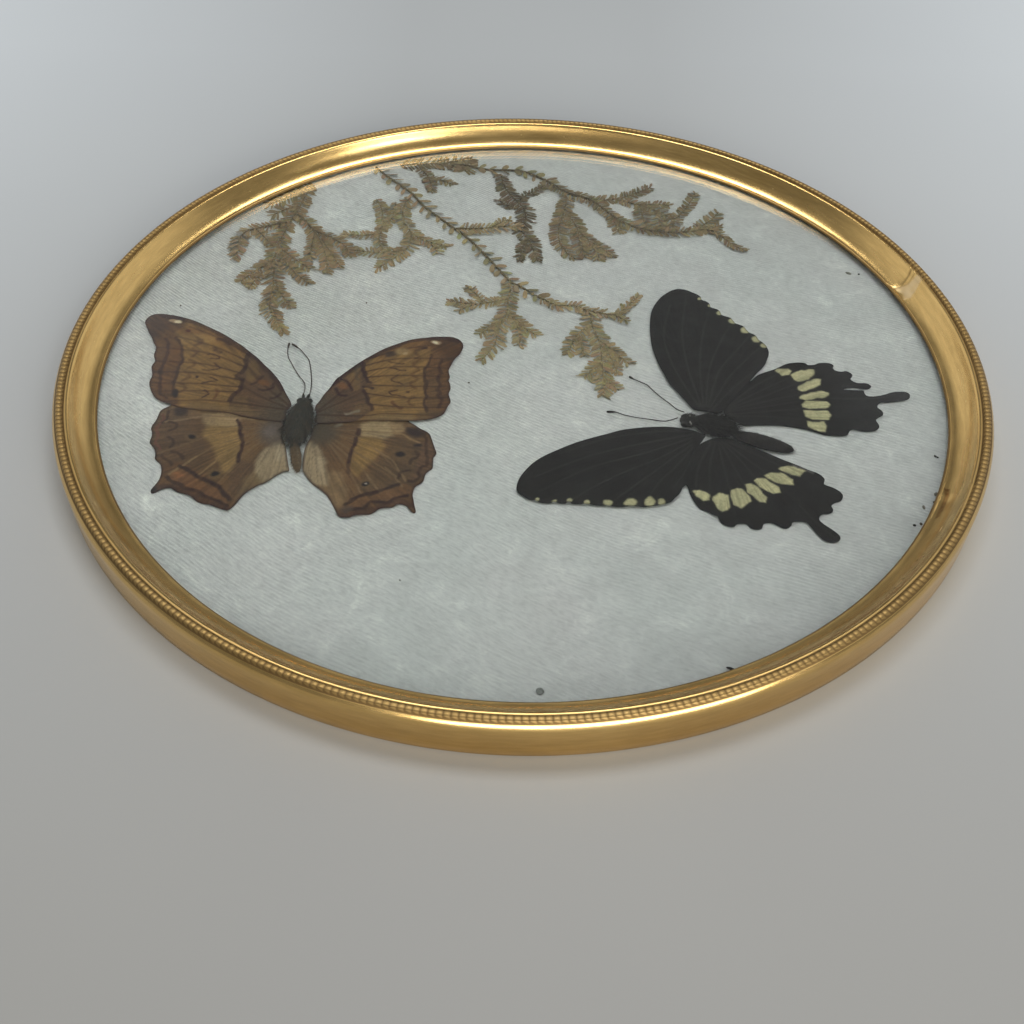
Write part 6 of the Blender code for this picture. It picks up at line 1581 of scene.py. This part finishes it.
fernSprigs = {
    "fern_left_stem": ("low", [
        (2.4, [(-58.7, 73.0), (-59.8, 67.0), (-60.7, 60.0), (-62.0, 53.5), (-62.9, 46.0), (-63.1, 38.0),
            (-62.0, 30.0), (-61.3, 24.0), (-61.0, 18.0), (-58.6, 12.5), (-56.0, 8.0)]),
        (1.8, [(-60.6, 26.0), (-58.3, 21.5), (-56.2, 17.5)]),
        (2.2, [(-63.0, 37.0), (-66.0, 33.0), (-68.5, 29.5), (-69.5, 27.4)]),
        (1.6, [(-65.0, 31.5), (-66.3, 28.0), (-67.0, 25.0)]),
        (1.9, [(-62.5, 42.5), (-59.5, 39.0), (-56.5, 36.0), (-53.5, 33.5)]),
        (1.9, [(-61.0, 37.5), (-58.7, 34.0), (-56.0, 30.5), (-53.0, 27.4)]),
        (2.4, [(-61.0, 62.0), (-64.5, 59.7), (-66.8, 57.3)]),
        (2.9, [(-60.2, 70.0), (-64.5, 66.0), (-68.3, 62.6)]),
        (2.6, [(-58.0, 72.6), (-61.0, 71.0), (-64.6, 68.4)])]),
    "fern_left_hook": ("middle", [
        (2.2, [(-62.6, 53.8), (-66.0, 52.2), (-69.5, 50.6), (-72.3, 48.8), (-73.3, 45.5), (-73.0, 41.0),
            (-72.8, 36.5)]),
        (1.7, [(-69.8, 50.0), (-67.0, 46.4), (-64.6, 43.0)])]),
    "fern_left_side": ("middle", [
        (2.1, [(-60.3, 57.4), (-57.5, 54.0), (-55.0, 50.0), (-52.6, 45.5), (-51.0, 41.0), (-49.8, 36.5),
            (-49.0, 31.8)]),
        (1.7, [(-54.6, 48.5), (-54.5, 43.0), (-54.2, 37.6)]),
        (1.8, [(-52.3, 46.0), (-50.2, 42.0), (-48.0, 38.0), (-46.2, 34.4)]),
        (1.9, [(-54.8, 50.0), (-51.0, 47.6), (-48.4, 45.8), (-45.8, 43.0), (-44.2, 39.0)])]),
    "fern_middle_stem": ("middle", [
        (1.9, [(-42.4, 82.5), (-38.5, 77.5), (-34.0, 72.5), (-31.0, 69.0), (-28.5, 64.5), (-25.5, 60.5),
            (-22.5, 57.0), (-19.5, 53.5), (-16.5, 50.3), (-13.5, 46.0), (-11.0, 42.0), (-8.8, 38.5),
            (-6.5, 34.5), (-3.8, 30.0), (-1.0, 27.7), (2.2, 24.6), (5.2, 22.3), (7.9, 20.4), (11.5, 20.7),
            (15.2, 18.8), (18.3, 17.9), (21.4, 17.4), (23.3, 19.2), (25.2, 21.9), (27.4, 25.0)]),
        (1.4, [(20.8, 17.5), (22.6, 16.4), (24.0, 15.2)])]),
    "fern_middle_cluster": ("low", [
        (2.1, [(-31.5, 67.5), (-33.0, 63.0), (-32.5, 57.0), (-30.5, 52.0), (-28.0, 48.5), (-24.5, 46.4),
            (-20.2, 44.7)]),
        (1.6, [(-25.6, 46.8), (-23.2, 43.8), (-22.6, 41.4)]),
        (1.8, [(-40.5, 66.3), (-38.8, 62.0), (-37.8, 57.0), (-37.5, 52.5), (-38.0, 48.5), (-37.4, 45.0),
            (-36.0, 41.6)]),
        (1.5, [(-35.2, 65.0), (-35.3, 60.0), (-36.0, 55.5), (-37.4, 51.5)]),
        (1.7, [(-38.0, 49.6), (-42.5, 48.9), (-47.3, 49.2)]),
        (2.3, [(-30.0, 51.0), (-29.7, 45.5), (-31.5, 41.3), (-34.0, 38.0), (-36.8, 34.4)]),
        (2.1, [(-30.6, 42.6), (-35.5, 41.4), (-40.0, 41.4), (-43.8, 42.4)])]),
    "fern_middle_side": ("high", [
        (2.2, [(-18.4, 52.4), (-14.0, 52.6), (-10.0, 53.1), (-6.0, 54.0), (-2.4, 53.9)]),
        (1.6, [(-9.0, 53.5), (-6.6, 56.0), (-4.6, 57.6)])]),
    "fern_middle_spray": ("low", [
        (2.3, [(-3.8, 29.8), (-3.7, 26.5), (-4.1, 22.0), (-4.3, 17.0), (-5.4, 13.6), (-6.3, 9.5),
            (-6.6, 6.0), (-7.7, 3.0), (-9.5, -0.4)]),
        (1.8, [(-4.2, 23.0), (-8.6, 21.4), (-12.0, 20.6), (-18.2, 21.2)]),
        (1.4, [(-12.5, 20.4), (-14.4, 19.0), (-15.6, 17.6)]),
        (1.5, [(-10.2, 21.6), (-12.0, 24.6), (-14.0, 27.3)]),
        (1.9, [(-5.2, 14.6), (-7.8, 11.6), (-10.4, 8.8)]),
        (1.8, [(-4.2, 17.6), (-1.3, 13.9), (0.6, 11.0), (3.0, 9.3)]),
        (1.7, [(-2.6, 15.2), (-1.4, 11.5), (-0.9, 8.0), (-1.1, 5.0)])]),
    "fern_middle_drop": ("low", [
        (2.3, [(15.3, 18.9), (15.8, 16.2), (16.0, 13.0), (16.8, 10.2), (17.5, 7.0), (17.8, 2.0),
            (17.9, -3.0), (18.2, -8.0), (17.8, -11.8)]),
        (1.9, [(15.9, 13.6), (12.9, 10.4), (11.4, 6.9), (10.1, 2.4)]),
        (1.6, [(12.9, 9.6), (13.4, 5.6), (13.8, 1.8)]),
        (1.9, [(17.7, 7.6), (20.2, 4.4), (22.2, 1.6), (24.0, -0.6)]),
        (1.7, [(19.0, 5.0), (20.3, 0.0), (21.3, -4.0)]),
        (2.0, [(17.9, 0.0), (15.5, -3.2), (13.9, -5.8)]),
        (1.6, [(18.1, -5.4), (20.0, -8.2), (21.3, -9.8)])]),
    "fern_top_stem": ("middle", [
        (2.1, [(-21.5, 84.4), (-18.0, 84.8), (-14.0, 83.4), (-10.0, 82.6), (-5.0, 82.7), (-1.0, 82.0),
            (3.0, 79.2), (6.0, 76.6), (10.5, 71.6), (14.0, 70.0), (17.0, 68.0), (20.0, 64.5), (22.0, 61.5),
            (25.0, 58.0), (28.0, 55.7), (31.0, 54.4), (35.0, 53.6), (39.0, 53.6), (43.0, 54.2),
            (46.0, 55.2), (49.0, 54.4), (51.2, 51.0), (53.0, 48.2), (55.6, 46.2)])]),
    "fern_top_dark": ("low", [
        (2.4, [(-7.6, 81.0), (-7.0, 77.0), (-6.0, 73.0), (-4.0, 69.0), (-2.0, 65.5), (-0.6, 62.0),
            (-0.6, 57.0), (-1.6, 53.4), (0.2, 49.5), (1.6, 45.0), (2.8, 39.4)]),
        (1.6, [(-2.0, 68.0), (0.3, 71.0), (3.2, 73.2), (4.0, 76.0)]),
        (1.7, [(-2.6, 63.4), (-5.6, 65.0), (-7.6, 67.2)]),
        (1.6, [(-0.4, 48.5), (-1.2, 44.0), (-1.6, 39.6)])]),
    "fern_top_fan": ("low", [
        (2.3, [(10.4, 70.6), (10.0, 64.0), (8.6, 57.0), (8.2, 50.0), (9.6, 44.6), (12.4, 40.6)]),
        (2.3, [(9.6, 63.0), (12.4, 57.0), (13.4, 52.0), (13.8, 46.0), (15.0, 41.4)]),
        (2.0, [(13.2, 54.0), (16.2, 48.5), (17.6, 44.5), (18.2, 40.6)]),
        (1.8, [(16.4, 48.6), (19.6, 45.2), (21.6, 42.4)])]),
    "fern_top_right": ("low", [
        (2.1, [(15.6, 69.0), (20.0, 68.6), (24.0, 69.6), (28.0, 71.6), (31.0, 73.8), (33.4, 75.8)]),
        (2.2, [(23.6, 69.4), (28.6, 67.2), (33.0, 65.0), (36.5, 62.0), (38.4, 58.5), (37.6, 54.6)]),
        (1.7, [(30.2, 66.6), (34.4, 67.2), (38.0, 66.8)]),
        (1.8, [(38.2, 59.0), (40.6, 62.6), (43.0, 67.0), (45.4, 73.2)]),
        (2.2, [(30.0, 66.4), (30.4, 62.0), (31.0, 58.0), (31.8, 55.0)]),
        (1.9, [(34.6, 64.0), (34.8, 59.0), (35.0, 55.2)])]),
    "fern_top_tip": ("low", [
        (2.2, [(43.4, 54.0), (46.2, 57.6), (48.8, 60.6), (50.6, 63.6)]),
        (1.8, [(43.4, 54.4), (47.0, 55.2), (50.6, 57.6)])]),
    "fern_top_twig": ("low", [(1.9, [(22.2, 61.0), (23.2, 57.0), (24.0, 53.2)])]),
    "fern_top_left": ("low", [
        (2.9, [(-36.0, 84.6), (-31.0, 85.0), (-26.0, 85.6), (-21.8, 84.6)]),
        (1.7, [(-30.4, 83.2), (-28.0, 79.4), (-26.8, 75.6), (-26.0, 71.0)]),
        (1.7, [(-27.6, 78.2), (-23.8, 76.8), (-20.6, 74.6)]),
        (2.9, [(-17.2, 89.6), (-17.0, 86.0), (-17.6, 82.0)]),
        (2.4, [(-25.0, 85.0), (-21.0, 87.0), (-17.0, 87.6)]),
        (1.5, [(-22.6, 83.8), (-19.6, 83.6), (-16.8, 84.2)])]),
}


def makeLeaflet():  # lanceolate, 1 mm long, folded along its rib
    letGo()
    outline = [(0.0, 0.0), (0.2, -0.12), (0.52, -0.18), (0.86, -0.15), (1.0, 0.0), (0.86, 0.15),
               (0.52, 0.18), (0.2, 0.12)]
    bpy.ops.mesh.primitive_circle_add(vertices=len(outline), radius=mm, fill_type="NGON")
    leaflet = bpy.context.object
    writePlaces(leaflet, np.array([(x, y, 0.0) for x, y in outline]))
    editMode(leaflet, "FACE")
    bpy.ops.mesh.select_all(action="SELECT")
    bpy.ops.mesh.poke()
    objectMode()
    places = readPlaces(leaflet)
    places[:, 2] = 0.05 - 0.22 * np.abs(places[:, 1]) - 0.04 * places[:, 0] ** 2
    writePlaces(leaflet, places)
    applyModifier(leaflet, "SOLIDIFY", thickness=0.05 * mm, offset=0.0)
    editMode(leaflet, "FACE")
    bpy.ops.mesh.select_all(action="SELECT")
    bpy.ops.mesh.normals_make_consistent(inside=False)
    objectMode()
    return leaflet


def walkLine(line, pitch):
    points = np.array(smoothOutline(line, 6, False))
    far = np.concatenate([[0], np.cumsum(np.hypot(*np.diff(points, axis=0).T))])
    stops = np.arange(pitch * 0.4, far[-1], pitch)

    def at(distance):
        return np.stack([np.interp(distance, far, points[:, k]) for k in (0, 1)], -1)

    ahead = at(stops + 0.4) - at(stops - 0.4)
    return at(stops), ahead / np.linalg.norm(ahead, axis=1)[:, None], stops / far[-1]


def setLeaflets(branches, level, thorny, draw):
    starts, ends, widths = [], [], []
    for number, (reach, line) in enumerate(branches):
        sparse = thorny if number == 0 else 0.0
        for kind, sizes in leafletKinds.items():
            places, ahead, share = walkLine(line, sizes["pitch"])
            keep = share < sparse if kind == "thorn" else share >= sparse
            if kind == "scale":
                keep = np.ones(len(share), bool)
            places, ahead, share = places[keep], ahead[keep], share[keep]
            if not len(share):
                continue
            shape = np.minimum(0.75 + 2.0 * share, 1) * (1 - 0.35 * np.clip(share * 5 - 4, 0, 1) ** 2)
            for side in (-1, 1):
                lean = math.radians(sizes["lean"]) * (1 - 0.45 * share ** 6)
                lean = lean + 0.14 * draw.normal(size=len(share))
                across = np.stack([-ahead[:, 1], ahead[:, 0]], -1) * side
                aim = ahead * np.cos(lean)[:, None] + across * np.sin(lean)[:, None]
                length = sizes["length"] * (reach if kind == "leaf" else 1.0)
                length = length * (0.82 + 0.3 * draw.random(len(share)))
                if kind == "leaf":
                    length = length * shape
                slide = ahead * (0.25 * side + 0.15 * draw.normal(size=len(share)))[:, None]
                first = places + slide
                low = level + sizes["lift"] + 0.015 * draw.normal(size=len(share))
                high = low + fernSizes["curl"] * draw.random(len(share)) - 0.02
                starts.append(np.column_stack([first, low]))
                ends.append(np.column_stack([first + aim * length[:, None], high]))
                widths.append(sizes["width"] * (0.8 + 0.35 * draw.random(len(share))))
    return np.concatenate(starts), np.concatenate(ends), np.concatenate(widths)


def fernFinish():
    finish, tree, shader = newFinish("pressed_fern", 0.72)
    shader.inputs["Specular IOR Level"].default_value = 0.3
    where = objectPlaces(tree)
    tone = addNode(tree, "Attribute", attribute_name="leaf").outputs["Color"]
    dry = noise(tree, where, 1900.0, 3.0, 0.65)
    fadeAndShade = noise(tree, where, 120.0, 2.0)
    flecked = ramp(tree, dry, [(0.3, (0.76, 0.74, 0.7)), (0.68, (1.18, 1.18, 1.15))])
    aged = ramp(tree, fadeAndShade, [(0.35, (0.88, 0.86, 0.84)), (0.65, (1.06, 1.05, 1.02))])
    tone = mixColour(tree, 0.75, tone, mixColour(tree, 1.0, tone, flecked, "MULTIPLY"))
    tree.links.new(mixColour(tree, 1.0, tone, aged, "MULTIPLY"), shader.inputs["Base Color"])
    tree.links.new(mapRange(tree, dry, 0.3, 0.7, 0.6, 0.85), shader.inputs["Roughness"])
    bump(tree, shader, dry, 0.5, 0.00008)
    return finish


def makeSprig(node, sprig, leaflet, finish, seed):
    layer, branches = sprig
    level = fernSizes[layer]
    draw = np.random.default_rng(seed)
    thorny = {"fern_middle_stem": 0.72, "fern_top_stem": 0.3}.get(node, 0.0)
    leafTone, stemTone = fernTones["dark" if node == "fern_top_dark" else node.split("_")[1]]
    starts, ends, widths = setLeaflets(branches, level, thorny, draw)
    frames = makeFrames(starts, ends, widths, 0.25 * draw.normal(size=len(starts)))
    tones = surfaceTone(leafTone) * (0.82 + 0.36 * draw.random(len(starts)))[:, None]
    tones = tones * (1 + 0.06 * draw.normal(size=tones.shape))
    # Painted shade: each leaflet is darker towards its base, where it meets the stem and its neighbours.
    baseShade = np.clip(readPlaces(leaflet)[:, 0] * 0.8 + 0.78, 0.78, 1.06)
    leaves = copyMany(leaflet, frames, tones[:, None] * baseShade[None, :, None], "leaf")
    lines = []
    for number, (reach, line) in enumerate(branches):
        flat = smoothOutline(line, 5, False)
        thick = fernSizes["stem"] * (1.25 if thorny and number == 0 else 0.8 if number else 1.0)
        radii = np.linspace(thick, fernSizes["stemTip"], len(flat))
        thickest = fernSizes["lowStem" if layer == "low" else "highStem"]
        lines.append(([(x, y, level - 0.03) for x, y in flat], np.minimum(radii, thickest)))
    stems = makeThreads(lines, 1)
    knots = 0.8 + 0.3 * latticeNoise(readPlaces(stems)[:, :2], 1.1, seed)
    paintLayer(stems, "leaf", surfaceTone(stemTone) * knots[:, None])
    sprigPiece = joinPieces([stems, leaves])
    takeHold(sprigPiece)
    bpy.ops.object.shade_smooth_by_angle(angle=math.radians(35))
    dress(sprigPiece, node + "_leaflets", "dried_fern", finish, node)


def makeFern():
    leaflet = makeLeaflet()
    finish = fernFinish()
    for seed, (node, sprig) in enumerate(fernSprigs.items()):
        makeSprig(node, sprig, leaflet, finish, 500 + seed)
    putAway(leaflet)


makeFern()
print("fern pressed")

# Crumbs and flecks that have settled under the pane
crumbs = [                      # place, half sizes, tone
    ((80.6, 37.4), (0.8, 0.5), (120, 122, 108)), ((83.1, 37.1), (0.3, 0.25), (50, 50, 46)),
    ((86.8, -28.4), (0.35, 0.25), (56, 54, 50)), ((87.2, -28.7), (0.25, 0.2), (60, 58, 52)),
    ((78.0, -48.4), (0.35, 0.3), (50, 48, 44)), ((-82.0, 17.0), (0.25, 0.2), (90, 84, 74)),
    ((-38.0, 20.0), (0.25, 0.2), (110, 108, 98)), ((-12.0, -8.5), (0.25, 0.2), (104, 102, 94)),
    ((84.3, -39.6), (0.6, 0.35), (116, 112, 98)), ((83.6, -41.9), (0.5, 0.3), (100, 92, 74)),
    ((81.0, -43.4), (0.6, 0.3), (120, 116, 100)), ((79.4, -48.0), (0.4, 0.3), (84, 74, 58)),
    ((37.8, -84.1), (0.8, 0.3), (34, 32, 30)), ((4.4, -89.9), (0.75, 0.7), (136, 140, 134)),
    ((20.3, 45.0), (0.3, 0.2), (118, 110, 92)), ((-22.0, -66.0), (0.2, 0.15), (110, 112, 104)),
]
crumbSizes = {
    "level": 2.12,
    "halfHeight": 0.16,
}


def makeCrumbs():
    draw = np.random.default_rng(601)
    letGo()
    bpy.ops.mesh.primitive_ico_sphere_add(subdivisions=2, radius=mm)
    crumb = bpy.context.object
    editMode(crumb)
    bpy.ops.mesh.select_all(action="SELECT")
    bpy.ops.transform.vertex_random(offset=0.16 * mm, seed=7)
    objectMode()
    frames, tones = [], []
    for (x, y), (long, short), tone in crumbs:
        turn = draw.random() * math.pi
        c, s = math.cos(turn), math.sin(turn)
        frames.append([(c * long, -s * short, 0.0, x), (s * long, c * short, 0.0, y),
                       (0.0, 0.0, crumbSizes["halfHeight"], crumbSizes["level"])])
        tones.append(np.tile(surfaceTone(tone), (len(crumb.data.vertices), 1)))
    flecks = copyMany(crumb, np.array(frames), np.array(tones), "leaf")
    putAway(crumb)
    finish, tree, shader = newFinish("settled_dust", 0.85)
    tone = addNode(tree, "Attribute", attribute_name="leaf").outputs["Color"]
    gritty = noise(tree, objectPlaces(tree), 2600.0, 3.0, 0.7)
    mottled = ramp(tree, gritty, [(0.3, (0.6, 0.6, 0.6)), (0.7, (1.3, 1.3, 1.3))])
    tree.links.new(mixColour(tree, 1.0, tone, mottled, "MULTIPLY"), shader.inputs["Base Color"])
    bump(tree, shader, gritty, 0.5, 0.0001)
    dress(flecks, "settled_crumbs", "dried_fern", finish)


makeCrumbs()
print("crumbs scattered")
